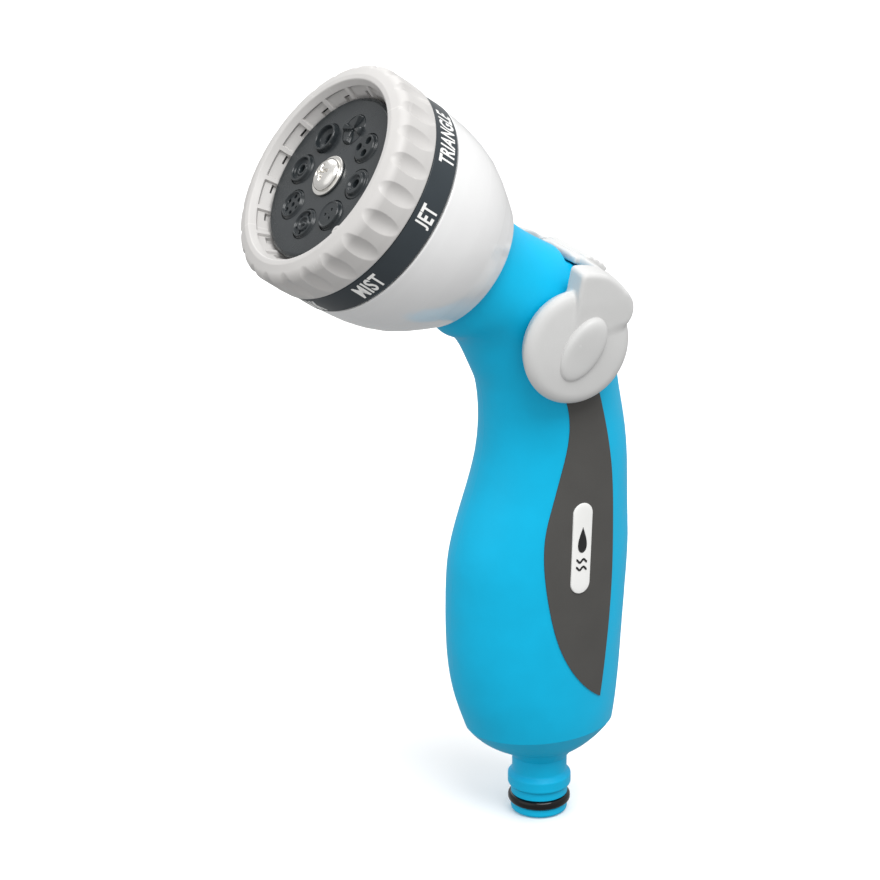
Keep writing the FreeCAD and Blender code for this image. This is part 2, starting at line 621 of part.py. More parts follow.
def build_rotor():
    """The rotary plug: a drum with an angled passage, its spindles and its two O-rings."""
    groove = d.rotor_radius - d.rotor_seal_wire * 2
    half = d.rotor_seal_wire + d.joint_gap
    drum = turned_body("rotor_drum", [
        (0, d.spindle_half * -1), (d.spindle_radius, d.spindle_half * -1),
        (d.spindle_radius, d.rotor_half * -1), (d.rotor_radius, d.rotor_half * -1),
        (d.rotor_radius, (d.rotor_seal_at + half) * -1), (groove, (d.rotor_seal_at + half) * -1),
        (groove, (d.rotor_seal_at - half) * -1), (d.rotor_radius, (d.rotor_seal_at - half) * -1),
        (d.rotor_radius, d.rotor_seal_at - half), (groove, d.rotor_seal_at - half),
        (groove, d.rotor_seal_at + half), (d.rotor_radius, d.rotor_seal_at + half),
        (d.rotor_radius, d.rotor_half), (d.spindle_radius, d.rotor_half),
        (d.spindle_radius, d.spindle_half), (0, d.spindle_half)])
    drum.Placement = LEVER
    ports = [cylinder("rotor_inlet", d.port_radius, d.socket_low, d.pivot_z),
             port_along_head("rotor_outlet", d.port_radius, d.outlet_bend, d.outlet_socket_high)]
    pilots = [cylinder("pilot_right", d.lever_screw_radius, d.spindle_half - d.lever_screw_length, BEYOND),
              cylinder("pilot_left", d.lever_screw_radius, -BEYOND, d.lever_screw_length - d.spindle_half)]
    ports += [in_frame(pilot, LEVER) for pilot in pilots]
    keep(cut("rotor", drum, fuse("rotor_tools", ports)), "valve_rotor")
    ring = groove + d.rotor_seal_wire
    rings = [torus("rotor_ring_left", ring, d.rotor_seal_wire, d.rotor_seal_at * -1),
             torus("rotor_ring_right", ring, d.rotor_seal_wire, d.rotor_seal_at)]
    keep(fuse("rotor_rings", rings), "rotor_o_rings", LEVER)


def cap_shape(name, low, high):
    """An oval post on the lever's cheek."""
    ring = doc.addObject("Part::Ellipse", f"{name}_oval")
    bind(ring, "MajorRadius", d.cap_long)
    bind(ring, "MinorRadius", d.cap_short)
    ring.Placement = Placement(Vector(0, 0, low.value), Rotation(Vector(0, 0, 1), d.cap_lean.value))
    face = doc.addObject("Part::Face", f"{name}_face")
    face.Sources = [ring]
    post = doc.addObject("Part::Extrusion", name)
    post.Base = face
    post.DirMode = "Custom"
    post.Dir = Vector(0, 0, 1)
    bind(post, "LengthFwd", high - low)
    post.Solid = True
    return post


def mirrored(name, item):
    """The same solid on the other side of the nozzle, in the lever's frame."""
    copy = doc.addObject("Part::Mirroring", name)
    copy.Source = item
    copy.Normal = Vector(0, 0, 1)
    return copy


def build_lever():
    """The thumb lever: two cheeks, an arm up each side and a bridge behind the handle."""
    cheek = cylinder("cheek", d.cheek_radius, d.cheek_low, d.cheek_high)
    arm = cylinder("arm", d.arm_radius, d.cheek_low, d.cheek_high, d.arm_sweep, d.bridge_start.value)
    rim = cylinder("boss_rim", d.cap_long + d.boss_rim, d.cheek_low, d.cheek_high + d.boss_rim)
    side = fuse("lever_side", [cheek, arm, rim])
    outer = cylinder("bridge_outside", d.bridge_outer, d.cheek_high * -1, d.cheek_high, d.bridge_sweep,
                     d.bridge_start.value)
    inner = cylinder("bridge_inside", d.bridge_inner, -BEYOND, BEYOND)
    bridge = cut("bridge", outer, inner)
    yoke = fuse("yoke", [side, mirrored("other_side", side), bridge])
    oval = cap_shape("cap_right_shape", d.cap_low, d.cap_high)
    recess = cap_shape("recess", d.cap_low, d.cap_high + d.boss_rim)
    tools = [recess, mirrored("other_recess", recess),
             cylinder("spindle_socket", d.spindle_radius, d.spindle_half * -1, d.spindle_half),
             cylinder("lever_screw_hole", d.lever_screw_radius + d.lever_screw_gap, -BEYOND, BEYOND)]
    keep(cut("lever_shape", yoke, fuse("lever_tools", tools)), "thumb_lever", LEVER)
    head_top = d.cap_low + d.lever_screw_head_height
    head = cylinder("lever_screw_head", d.lever_screw_head, d.cap_low, head_top)
    shank = cylinder("lever_screw_shank", d.lever_screw_radius, d.spindle_half - d.lever_screw_length,
                     d.cap_low)
    screw = fuse("lever_screw", [head, shank])
    keep(fuse("lever_screw_pair", [screw, mirrored("other_screw", screw)]), "lever_screws", LEVER)
    well = cylinder("cap_well", d.lever_screw_head + d.joint_gap, d.cheek_low, head_top + d.joint_gap)
    cap = cut("cap", oval, well)
    keep(fuse("cap_right", [cap]), "lever_cap_right", LEVER)
    keep(fuse("cap_left", [mirrored("cap_other", cap)]), "lever_cap_left", LEVER)


# ---- spray head ----

def build_bell():
    """The fixed bell housing, with the spigot that the handle shells clamp."""
    inside = d.bell_wall
    floor = d.bell_heel + 1.4
    turned("bell_housing", [
        (d.spigot_bore, d.spigot_low), (d.spigot_flange, d.spigot_low),
        (d.spigot_flange, d.spigot_low + d.spigot_flange_thick),
        (d.spigot_radius, d.spigot_low + d.spigot_flange_thick),
        (d.spigot_radius, d.bell_back), (d.bell_back_radius, d.bell_back, -2.0),
        (d.bell_heel_radius, d.bell_heel, -40.0), (d.bell_waist_radius, d.bell_waist, -52.0),
        (d.bell_lip_radius, d.bell_front), (d.manifold_radius + d.joint_gap, d.bell_front),
        (d.manifold_radius + d.joint_gap, d.manifold_back),
        (d.bell_waist_radius + 0.6 - inside, d.manifold_back),
        (d.bell_waist_radius - 0.1 - inside, d.bell_waist + 0.8, 38.0),
        (d.bell_heel_radius - 0.6 - inside, floor), (d.spigot_bore, floor)], HEAD)


def build_manifold():
    """The fixed water manifold that closes the bell, with the hub that the dial turns on."""
    body = turned_body("manifold", [
        (d.tube_radius + d.tube_fit, d.manifold_low), (d.socket_radius, d.manifold_low),
        (d.socket_radius, d.manifold_back - d.manifold_cone), (d.manifold_cone_radius, d.manifold_back),
        (d.manifold_radius, d.manifold_back), (d.manifold_radius, d.manifold_rim),
        (d.manifold_step_radius, d.manifold_rim), (d.manifold_step_radius, d.manifold_front),
        (d.hub_radius, d.manifold_front), (d.hub_radius, d.hub_groove_low),
        (d.hub_groove_radius, d.hub_groove_low), (d.hub_groove_radius, d.hub_groove_high),
        (d.hub_radius, d.hub_groove_high), (d.hub_radius, d.hub_top),
        (d.pilot_radius, d.hub_top), (d.pilot_radius, d.pilot_low), (0, d.pilot_low), (0, d.chamber_front),
        (d.chamber_radius, d.chamber_front), (d.chamber_radius, d.chamber_back),
        (d.chamber_throat, d.outlet_high + d.joint_gap),
        (d.tube_radius + d.tube_fit, d.outlet_high + d.joint_gap)])
    drill_ring(body, "manifold_port", d.manifold_port, d.port_circle, d.port_phase + 90, Size(1))
    seal_low = d.manifold_front - d.port_seal_depth
    drill_ring(body, "seal_seat", d.seat_radius, d.port_circle, d.port_phase + 90, Size(1),
               seal_low, d.manifold_front)
    keep(body, "water_manifold", HEAD)
    seal = turned_body("port_seal_ring", [
        (d.dial_port_radius, seal_low), (d.seat_radius, seal_low),
        (d.seat_radius, d.manifold_front), (d.seat_radius - 0.6, d.dial_back - d.joint_gap),
        (d.dial_port_radius, d.dial_back - d.joint_gap)])
    angle = math.radians(d.port_phase.value + 90)
    offset = Vector(d.port_circle.value * math.cos(angle), d.port_circle.value * math.sin(angle), 0)
    keep(seal, "port_seal", HEAD.multiply(Placement(offset, Rotation())))
    ring = torus("hub_ring", d.hub_radius - d.hub_seal_wire, d.hub_seal_wire,
                 (d.hub_groove_low + d.hub_groove_high) * 0.5)
    keep(fuse("hub_seal", [ring]), "hub_o_ring", HEAD)


def build_click_spring():
    """The leaf that clicks into the dial's notches."""
    leaf = doc.addObject("Part::Box", "click_leaf")
    bind(leaf, "Length", d.click_width)
    bind(leaf, "Width", d.click_length)
    bind(leaf, "Height", d.click_thick)
    leaf.Placement.Base = Vector(-d.click_width.value / 2, -d.click_length.value / 2, d.manifold_front.value)
    nub = doc.addObject("Part::Sphere", "click_nub")
    nub.Radius = d.nub_radius.value
    nub.Placement.Base = Vector(0, 0, d.dial_back.value - d.nub_gap.value - d.nub_radius.value)
    above = cylinder("above_leaf", d.click_length, d.manifold_front, d.dial_back)
    joined = common("click_shape", fuse("click_pieces", [leaf, nub]), above)
    angle = d.port_phase.value + 22.5
    radius = d.click_circle.value
    offset = Vector(radius * math.cos(math.radians(angle)), radius * math.sin(math.radians(angle)), 0)
    keep(joined, "click_spring", HEAD.multiply(Placement(offset, Rotation(Vector(0, 0, 1), angle))))


def build_dial():
    """The turning dial: body, spray plate, pattern inserts, label band and grip ring."""
    bore = d.hub_radius + d.hub_gap
    skirt_inner = d.dial_skirt_radius - d.dial_skirt_wall
    web_top = d.dial_back + d.dial_web
    body = turned_body("dial_core", [
        (bore, d.dial_back), (skirt_inner - 1, d.dial_back), (skirt_inner, d.dial_back - 1),
        (skirt_inner, d.dial_skirt_low), (d.dial_skirt_radius, d.dial_skirt_low),
        (d.dial_skirt_radius, d.dial_top), (skirt_inner - 1, d.dial_top), (skirt_inner - 1, web_top),
        (d.dial_hub_radius, web_top), (d.dial_hub_radius, d.dial_top), (bore, d.dial_top)])
    drill_ring(body, "dial_ports", d.dial_port_radius, d.port_circle, d.port_phase, d.ports)
    drill_ring(body, "click_notches", d.notch_radius, d.click_circle, d.port_phase + 22.5, d.ports,
               d.dial_back - d.notch_depth, d.dial_back + d.notch_depth)
    keep(body, "dial_body", HEAD)
    plate = turned_body("plate", [
        (bore, d.plate_back), (d.plate_radius, d.plate_back),
        (d.plate_radius, d.plate_front - d.plate_round, d.plate_round * -1),
        (d.plate_radius - d.plate_round, d.plate_front), (bore, d.plate_front)])
    drill_ring(plate, "insert_holes", d.insert_radius, d.port_circle, d.port_phase, d.ports)
    keep(plate, "spray_plate", HEAD)
    for number, (label, count, hole, circle) in enumerate(PATTERNS):
        insert = turned_body(f"{label}_body", [
            (0, d.plate_back), (d.insert_radius, d.plate_back),
            (d.insert_radius, d.insert_front - d.insert_edge),
            (d.insert_radius - d.insert_edge, d.insert_front),
            (0, d.insert_front)])
        drill_ring(insert, f"{label}_holes", Size(hole), Size(circle), Size(0), Size(count))
        angle = math.radians(d.port_phase.value + 360 / d.ports.value * number)
        offset = Vector(d.port_circle.value * math.cos(angle), d.port_circle.value * math.sin(angle), 0)
        keep(insert, label, HEAD.multiply(Placement(offset, Rotation())))
    turned("label_band", [
        (d.dial_skirt_radius, d.band_low), (d.band_radius - d.band_bevel, d.band_low),
        (d.band_radius, d.band_low + d.band_bevel), (d.band_radius, d.band_high),
        (d.dial_skirt_radius, d.band_high)], HEAD)
    ring = turned_body("grip", [
        (d.dial_skirt_radius, d.ring_low), (d.ring_radius - d.ring_bevel, d.ring_low),
        (d.ring_radius, d.ring_low + d.ring_bevel), (d.ring_radius, d.ring_shoulder, -4.2),
        (d.ring_brow_radius, d.ring_front, -0.9),
        (d.lip_radius, d.ring_front - 0.6), (d.plate_radius + 0.3, d.ring_well),
        (d.plate_radius + 0.3, d.dial_top + 0.1), (d.dial_skirt_radius, d.dial_top + 0.1)])
    drill_ring(ring, "flutes_cut", d.flute_radius, d.ring_radius + d.flute_radius - d.flute_depth,
               d.flute_phase, d.flutes, d.flute_low, d.flute_high)
    keep(ring, "grip_ring", HEAD)


def build_centre_screw():
    """The screw and washer that hold the dial on its hub."""
    washer_top = d.hub_top + d.washer_thick
    turned("centre_washer", [
        (d.washer_bore, d.hub_top), (d.washer_radius, d.hub_top),
        (d.washer_radius, washer_top), (d.washer_bore, washer_top)], HEAD)
    body = turned_body("screw", [
        (0, d.screw_tip), (d.pilot_radius, d.screw_tip), (d.pilot_radius, washer_top),
        (d.screw_top_radius, washer_top), (d.screw_top_radius, washer_top + d.screw_top_edge, -5.6),
        (d.screw_top_flat, washer_top + d.screw_top_height), (0, washer_top + d.screw_top_height)])
    keep(body, "centre_screw", HEAD)


build_handle()
build_screws()
build_inlet()
build_tubes()
build_valve_body()
build_rotor()
build_lever()
build_bell()
build_manifold()
build_click_spring()
build_dial()
build_centre_screw()
doc.recompute()


def check_document():
    """Stop if any object failed or any sub-part is empty or invalid."""
    for item in doc.Objects:
        if "Invalid" in item.State or "Error" in item.State:
            raise RuntimeError(f"{item.Name} failed: {item.State}")
    for node in nodes:
        if node.Shape.isNull() or not node.Shape.isValid() or not node.Shape.Solids:
            raise RuntimeError(f"{node.Label} has no valid solid")


def export_nodes():
    """Write one STEP file for each sub-part."""
    os.makedirs("parts", exist_ok=True)
    for node in nodes:
        node.Shape.exportStep(f"parts/{node.Label}.step")
        print(f"{node.Label:22s} {len(node.Shape.Solids)} solid(s) {node.Shape.Volume:10.1f} mm3")


check_document()
export_nodes()
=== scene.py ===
"""Looks of a garden hose spray nozzle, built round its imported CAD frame.

Lengths are in millimetres until a mesh is made, which turns them into metres. Three frames
are used: the world, the head frame (local z runs out along the spray axis) and the lever
frame (local z is the world's x, local x is the world's y, local y is the world's z).
"""
import json
import math

import bmesh
import bpy
import numpy as np
from mathutils import Matrix, Vector
from mathutils.bvhtree import BVHTree


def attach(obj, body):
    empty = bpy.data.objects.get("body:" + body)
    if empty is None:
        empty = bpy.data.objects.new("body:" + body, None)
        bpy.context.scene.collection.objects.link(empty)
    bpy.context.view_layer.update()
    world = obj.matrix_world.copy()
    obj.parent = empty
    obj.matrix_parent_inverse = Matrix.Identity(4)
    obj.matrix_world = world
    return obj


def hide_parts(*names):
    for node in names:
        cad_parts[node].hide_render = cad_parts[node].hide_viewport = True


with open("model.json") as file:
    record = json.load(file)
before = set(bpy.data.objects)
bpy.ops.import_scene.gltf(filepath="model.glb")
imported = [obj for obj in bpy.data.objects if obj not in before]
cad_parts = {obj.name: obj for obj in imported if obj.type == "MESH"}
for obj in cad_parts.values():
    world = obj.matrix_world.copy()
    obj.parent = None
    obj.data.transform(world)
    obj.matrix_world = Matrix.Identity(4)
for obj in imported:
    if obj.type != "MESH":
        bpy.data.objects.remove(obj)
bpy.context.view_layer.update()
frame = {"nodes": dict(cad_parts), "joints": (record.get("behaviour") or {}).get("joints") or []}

MM = 0.001
HANDLE, LEVER_BODY, DIAL = "handle", "lever", "dial"
SIDES = ((1, "right"), (-1, "left"))
CREASE = 32  # degrees between two faces that make their edge sharp

joints = {joint["name"]: joint for joint in frame["joints"]}


def millimetres(point):
    """A point of the record, in millimetres."""
    return Vector(point) / MM


def frame_at(origin, x_axis, y_axis, z_axis):
    """The matrix that takes local millimetres to world millimetres."""
    turn = Matrix((x_axis, y_axis, z_axis)).transposed().to_4x4()
    return Matrix.Translation(origin) @ turn


WORLD = Matrix.Identity(4)
SPRAY_AXIS = Vector(joints["dial_turn"]["axis"]).normalized()
ACROSS_AXIS = Vector((1, 0, 0))
HEAD = frame_at(millimetres(joints["dial_turn"]["pos_m"]), ACROSS_AXIS,
                SPRAY_AXIS.cross(ACROSS_AXIS), SPRAY_AXIS)
LEVER = frame_at(millimetres(joints["lever_pivot"]["pos_m"]), (0, 1, 0), (0, 0, 1), (1, 0, 0))


def node_points(node, place=WORLD):
    """A CAD node's vertices in millimetres, in the frame named by place."""
    mesh = frame["nodes"][node].data
    points = np.empty(len(mesh.vertices) * 3)
    mesh.vertices.foreach_get("co", points)
    points = points.reshape(-1, 3) / MM
    back = np.array(place.inverted())
    return points @ back[:3, :3].T + back[:3, 3]


def turned_size(node):
    """A turned node's largest radius and its lowest and highest point along the spray axis."""
    points = node_points(node, HEAD)
    radius = np.hypot(points[:, 0], points[:, 1]).max()
    return radius, points[:, 2].min(), points[:, 2].max()


# ---- meshes ----

def make_piece(name, points, faces, body, slot, nodes=(), place=WORLD, material=None,
               crease=CREASE):
    """A closed mesh object from local points and faces, facing out and riding on a body."""
    points = np.asarray(points, float)
    matrix = np.array(place)
    points = (points @ matrix[:3, :3].T + matrix[:3, 3]) * MM
    mesh = bpy.data.meshes.new(name)
    mesh.from_pydata(points.tolist(), [], [list(face) for face in faces])
    mesh.validate()
    mesh.update()
    work = bmesh.new()
    work.from_mesh(mesh)
    bmesh.ops.recalc_face_normals(work, faces=work.faces)
    work.to_mesh(mesh)
    work.free()
    return finish_piece(name, mesh, body, slot, nodes, material, crease)


def finish_piece(name, mesh, body, slot, nodes, material, crease=CREASE):
    """Shade a mesh, give it its material, put it in the scene on its body and hide the CAD nodes it
    replaces.
    """
    mesh.polygons.foreach_set("use_smooth", [True] * len(mesh.polygons))
    mesh.set_sharp_from_angle(angle=math.radians(crease))
    piece = bpy.data.objects.new(name, mesh)
    bpy.context.scene.collection.objects.link(piece)
    mesh.materials.clear()
    mesh.materials.append(material or MATERIALS[slot])
    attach(piece, body)
    if nodes:
        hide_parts(*nodes)
    return piece


def grid_faces(rows, columns, wrap_rows=False, wrap_columns=True):
    """Quads of a grid of points stored row by row."""
    row = np.arange(rows if wrap_rows else rows - 1)
    column = np.arange(columns if wrap_columns else columns - 1)
    row, column = np.meshgrid(row, column, indexing="ij")
    next_row, next_column = (row + 1) % rows, (column + 1) % columns
    corners = (row * columns + column, row * columns + next_column,
               next_row * columns + next_column, next_row * columns + column)
    return np.stack(corners, axis=-1).reshape(-1, 4).tolist()


def stacked_faces(rings, segments):
    """Quads between rings of points, with one face over the first ring and one over the last."""
    last = (rings - 1) * segments
    ends = [list(range(segments))[::-1], list(range(last, last + segments))]
    return grid_faces(rings, segments) + ends


def rounded(corners, closed=True, step=12.0, support=0.12):
    """A profile whose (x, y, radius) corners are arcs, with a support point on each side."""
    least_edge = 0.02
    result = []
    count = len(corners)
    for index, corner in enumerate(corners):
        here = np.array(corner[:2], float)
        radius = corner[2] if len(corner) > 2 else 0.0
        ends = not closed and index in (0, count - 1)
        if ends or radius <= 0:
            result.append(here)
            continue
        to_last = np.array(corners[index - 1][:2], float) - here
        to_next = np.array(corners[(index + 1) % count][:2], float) - here
        room = 0.49 * min(np.linalg.norm(to_last), np.linalg.norm(to_next))
        to_last, to_next = (side / np.linalg.norm(side) for side in (to_last, to_next))
        half = math.acos(np.clip(to_last @ to_next, -1, 1)) / 2
        reach = min(radius / math.tan(half), room)
        radius = reach * math.tan(half)
        between = (to_last + to_next) / np.linalg.norm(to_last + to_next)
        centre = here + between * radius / math.sin(half)
        start, end = here + to_last * reach - centre, here + to_next * reach - centre
        sweep = math.pi - 2 * half
        steps = max(2, int(math.degrees(sweep) / step) + 1)
        turn = math.copysign(sweep, start[0] * end[1] - start[1] * end[0])
        edge = min(support, room - reach + 1e-6)
        if edge > least_edge:
            result.append(centre + start + to_last * edge)
        for share in np.linspace(0, 1, steps + 1):
            c, s = math.cos(turn * share), math.sin(turn * share)
            turned = np.array((c * start[0] - s * start[1], s * start[0] + c * start[1]))
            result.append(centre + turned)
        if edge > least_edge:
            result.append(centre + end + to_next * edge)
    return np.array(result)


def turned_piece(name, corners, body, slot, nodes=(), place=HEAD, segments=192):
    """A lathe-turned piece: a closed profile of (radius, height, rounding) about local z."""
    profile = rounded(corners)
    angle = np.linspace(0, 2 * math.pi, segments, endpoint=False)
    radius, height = profile[:, :1], profile[:, 1:]
    points = np.stack((radius * np.cos(angle), radius * np.sin(angle), height + 0 * angle), axis=-1)
    faces = grid_faces(len(profile), segments, wrap_rows=True)
    return make_piece(name, points.reshape(-1, 3), faces, body, slot, nodes, place)


def smoothstep(low, high, value):
    """0 below low, 1 above high, smooth between them."""
    share = np.clip((value - low) / (high - low), 0, 1)
    return share * share * (3 - 2 * share)


# ---- materials ----

def linear(code):
    """A hexadecimal sRGB colour as linear RGBA."""
    parts = [int(code[index:index + 2], 16) / 255 for index in (0, 2, 4)]
    return tuple(part / 12.92 if part <= 0.04045 else ((part + 0.055) / 1.055) ** 2.4
                 for part in parts) + (1.0,)


def moulded(name, colour, roughness, grain_mm=0.25, grain_depth_mm=0.01, tint=0.03,
            gloss_change=0.06, metallic=0.0, coat=0.0, specular=0.5, edge_highlight=0.0):
    """A moulded or metal surface: fine grain, faint clouds in colour and gloss, and a painted highlight
    lightening its sharp edges.
    """
    cloud_mm, coat_roughness = 9.0, 0.1
    highlight_from, highlight_to = 0.52, 0.62  # pointiness at which the painted edge highlight starts, and where it is full
    material = bpy.data.materials.new(name)
    material.use_nodes = True
    nodes, links = material.node_tree.nodes, material.node_tree.links
    shader = nodes["Principled BSDF"]
    shader.inputs["Metallic"].default_value = metallic
    shader.inputs["Specular IOR Level"].default_value = specular
    shader.inputs["Coat Weight"].default_value = coat
    shader.inputs["Coat Roughness"].default_value = coat_roughness
    place = nodes.new("ShaderNodeTexCoord")

    def noise(size_mm, detail):
        texture = nodes.new("ShaderNodeTexNoise")
        texture.inputs["Scale"].default_value = 1 / (size_mm * MM)
        texture.inputs["Detail"].default_value = detail
        links.new(place.outputs["Object"], texture.inputs["Vector"])
        return texture.outputs["Fac"]

    def spread(source, low, high):
        change = nodes.new("ShaderNodeMapRange")
        change.inputs["From Min"].default_value = 0.3
        change.inputs["From Max"].default_value = 0.7
        change.inputs["To Min"].default_value = low
        change.inputs["To Max"].default_value = high
        links.new(source, change.inputs["Value"])
        return change.outputs["Result"]

    cloud, grain = noise(cloud_mm, 3.0), noise(grain_mm, 2.0)
    base = np.array(linear(colour))
    mix = nodes.new("ShaderNodeMix")
    mix.data_type = "RGBA"
    mix.inputs[6].default_value = (*np.clip(base[:3] * (1 - tint), 0, 1), 1)
    mix.inputs[7].default_value = (*np.clip(base[:3] * (1 + tint), 0, 1), 1)
    links.new(spread(cloud, 0.0, 1.0), mix.inputs[0])
    result = mix.outputs[2]
    # Sharp convex edges, found by pointiness, are lightened: a painted edge highlight.
    if edge_highlight > 0:
        edge = nodes.new("ShaderNodeNewGeometry")
        highlight_ramp = nodes.new("ShaderNodeMapRange")
        highlight_ramp.inputs["From Min"].default_value = highlight_from
        highlight_ramp.inputs["From Max"].default_value = highlight_to
        highlight_ramp.inputs["To Max"].default_value = edge_highlight
        links.new(edge.outputs["Pointiness"], highlight_ramp.inputs["Value"])
        lighter = nodes.new("ShaderNodeMix")
        lighter.data_type = "RGBA"
        lighter.inputs[7].default_value = (*np.clip(base[:3] * 1.25 + 0.06, 0, 1), 1)
        links.new(highlight_ramp.outputs["Result"], lighter.inputs[0])
        links.new(result, lighter.inputs[6])
        result = lighter.outputs[2]
    links.new(result, shader.inputs["Base Color"])
    dull = spread(cloud, roughness - gloss_change, roughness + gloss_change)
    links.new(dull, shader.inputs["Roughness"])
    bump = nodes.new("ShaderNodeBump")
    bump.inputs["Strength"].default_value = 1.0
    bump.inputs["Distance"].default_value = grain_depth_mm * MM
    links.new(grain, bump.inputs["Height"])
    links.new(bump.outputs["Normal"], shader.inputs["Normal"])
    return material


# slot: colour, roughness, grain size and grain depth in mm, and what differs from the defaults
LOOKS = {
    "handle_blue": ("00B5E2", 0.46, 0.35, 0.01, {"tint": 0.03, "specular": 0.22}),
    "grip_rubber": ("4F4E4C", 0.75, 0.22, 0.03, {"tint": 0.05, "specular": 0.25}),
    "badge_white": ("F0F0EE", 0.35, 0.3, 0.003, {}),
    "seal_black": ("060607", 0.13, 0.4, 0.002, {"specular": 0.35}),
    "inner_plastic": ("D8D8D2", 0.5, 0.4, 0.01, {}),
    # edge_highlight sets the strength of the painted highlight on sharp edges
    "lever_grey": ("CDCDCC", 0.42, 0.3, 0.006, {"tint": 0.02, "edge_highlight": 0.2, "specular": 0.35}),
    "ring_grey": ("C6C4C2", 0.42, 0.3, 0.006, {"tint": 0.02, "edge_highlight": 0.25, "specular": 0.4}),
    "bell_white": ("EAEAEA", 0.14, 0.5, 0.001, {"tint": 0.012, "gloss_change": 0.02, "coat": 0.5}),
    "band_slate": ("343B40", 0.36, 0.25, 0.005, {"tint": 0.05, "specular": 0.3}),
    "face_dark": ("23282B", 0.26, 0.25, 0.005, {"tint": 0.08, "edge_highlight": 0.2, "specular": 0.45}),
    "screw_steel": ("C8C8C6", 0.3, 0.5, 0.004, {"metallic": 1.0}),
    "polished_steel": ("E6E4E0", 0.2, 0.4, 0.006, {"metallic": 1.0, "gloss_change": 0.08}),
}
MATERIALS = {slot: moulded(slot, colour, roughness, grain_mm, grain_depth_mm, **more)
             for slot, (colour, roughness, grain_mm, grain_depth_mm, more) in LOOKS.items()}
PRINT_WHITE = moulded("print_white", "F4F4F2", 0.45, 0.12, 0.006, tint=0.03)
PRINT_BLACK = moulded("print_black", "131415", 0.4, 0.12, 0.006, tint=0.1)
# Near-black painted shade that stands in for the depth of the grip ring's shallow windows.
WINDOW_SHADE = moulded("window_painted_shade", "08090A", 0.6, 0.3, 0.01)


def dress_cad_nodes():
    """Give every CAD node the material of its slot."""
    for node in frame["nodes"].values():
        for socket in node.material_slots:
            socket.material = MATERIALS[socket.material.name.split(".")[0]]


# ---- thumb lever ----

def smooth_max(first, second, blend):
    """The larger of two distances, rounded where they cross."""
    near = np.maximum(blend - np.abs(first - second), 0) / blend
    return np.maximum(first, second) + near * near * blend / 4


def smooth_min(first, second, blend):
    """The smaller of two distances, filleted where they cross."""
    return -smooth_max(-first, -second, blend)


